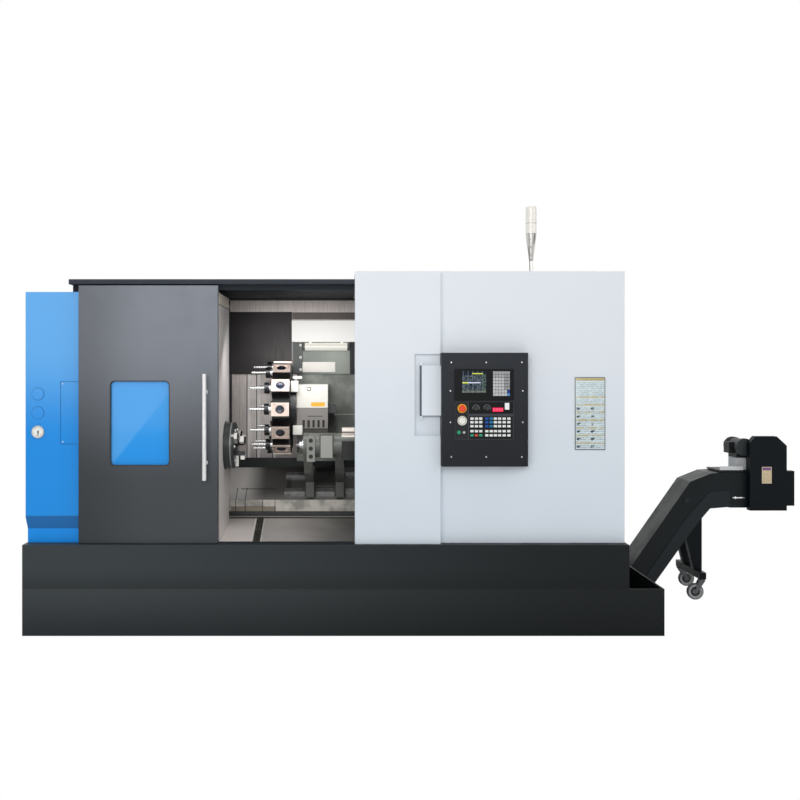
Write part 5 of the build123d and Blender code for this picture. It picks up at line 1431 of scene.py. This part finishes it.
# %% The floor
WHITE = (1, 1, 1, 1)
deselect()
bpy.ops.mesh.primitive_plane_add(size=60, location=(0, 8, 0))
floor = bpy.context.object
floor.name = "studio_floor"
paint = Paint("studio_floor_white")
floor.data.materials.append(paint.finish(base_color=(0.9, 0.9, 0.9, 1), roughness=0.9))
camera_ray = paint.node("ShaderNodeLightPath", out="Is Camera Ray")
glow = paint.node("ShaderNodeEmission", {}, {"Color": WHITE})
plain = Wire(paint, paint.shader.outputs[0])
blend = paint.node("ShaderNodeMixShader", {}, {0: camera_ray, 1: plain, 2: glow})
paint.fill(paint.tree.nodes["Material Output"].inputs["Surface"], blend)
print("floor:", floor.name, "is stage")

# %% [markdown]
# ## World
# The world gives a low even light from all sides. To the camera, in reflections and through glass it
# is plain white, so that metal and the pane show the same room as the picture does.

# %% The world
AMBIENT = 0.45
world = bpy.data.worlds.new("studio")
bpy.context.scene.world = world
world.use_nodes = True
world.node_tree.nodes.clear()
sky = Nodes(world.node_tree)
rays = ("Is Camera Ray", "Is Glossy Ray", "Is Transmission Ray")
camera_ray, glossy_ray, clear_ray = sky.node("ShaderNodeLightPath", out=rays)
either = {"operation": "ADD", "use_clamp": True}
seen = sky.node("ShaderNodeMath", either, {0: camera_ray, 1: glossy_ray})
seen = sky.node("ShaderNodeMath", either, {0: seen, 1: clear_ray})
ambient = sky.node("ShaderNodeBackground", {}, {"Color": WHITE, "Strength": AMBIENT})
backdrop = sky.node("ShaderNodeBackground", {}, {"Color": WHITE, "Strength": 1.0})
blend = sky.node("ShaderNodeMixShader", {}, {0: seen, 1: ambient, 2: backdrop})
sky.node("ShaderNodeOutputWorld", {}, {"Surface": blend}, out=None)
print("ambient light:", AMBIENT)

# %% [markdown]
# ## Lamps
# A photographer would light a machine with soft boxes: a large one in front, a weaker one at the right
# and one above. A small one inside the door's opening stands for the machine's own work light. A lamp
# shines along its own -Z, so its turn is worked out from its place to the point it faces.


# %% The lamps
def soft_lamp(name, place, aim, size, power):
    """A rectangular lamp that faces a point."""
    lamp = bpy.data.lights.new(name, "AREA")
    lamp.shape = "RECTANGLE"
    lamp.size, lamp.size_y = size
    lamp.energy = power
    holder = bpy.data.objects.new(name, lamp)
    bpy.context.collection.objects.link(holder)
    holder.location = place
    right, back, up = [a - p for a, p in zip(aim, place)]
    tilt = math.atan2(math.hypot(right, back), -up)
    holder.rotation_euler = (tilt, 0, math.atan2(back, right) - math.pi / 2)
    print(name, power, "W at", place)


soft_lamp("front_lamp", (-1.2, -7.5, 3.6), (0.0, 0.0, 1.2), (5.5, 3.5), 198)
soft_lamp("right_lamp", (6.5, -4.5, 4.5), (1.0, 0.0, 1.2), (3.0, 3.0), 75)
soft_lamp("top_lamp", (0.0, 0.5, 6.5), (0.0, 0.0, 1.0), (6.0, 4.0), 110)
soft_lamp("work_light", (-0.30, -0.78, 1.88), (-0.30, 0.2, 0.9), (0.8, 0.2), 4.2)

# %% [markdown]
# ## Camera
# The photograph has upright edges that stay upright, so its camera looked level and the picture was
# cut from a larger one. A level camera with a shifted lens does the same. A tilted one would make the
# uprights lean.

# %% The camera
PICTURE = 800
camera_data = bpy.data.cameras.new("camera")
camera_data.sensor_width = 36
camera_data.lens = 41.54
camera_data.shift_x = 55 / PICTURE
camera_data.shift_y = -28 / PICTURE
camera = bpy.data.objects.new("camera", camera_data)
bpy.context.collection.objects.link(camera)
camera.location = (0.011, -7.050, 1.716)
camera.rotation_euler = (math.pi / 2, 0, 0)
bpy.context.scene.camera = camera
bpy.context.scene.view_settings.view_transform = "Standard"
print("lens:", camera_data.lens, "mm")

# %% [markdown]
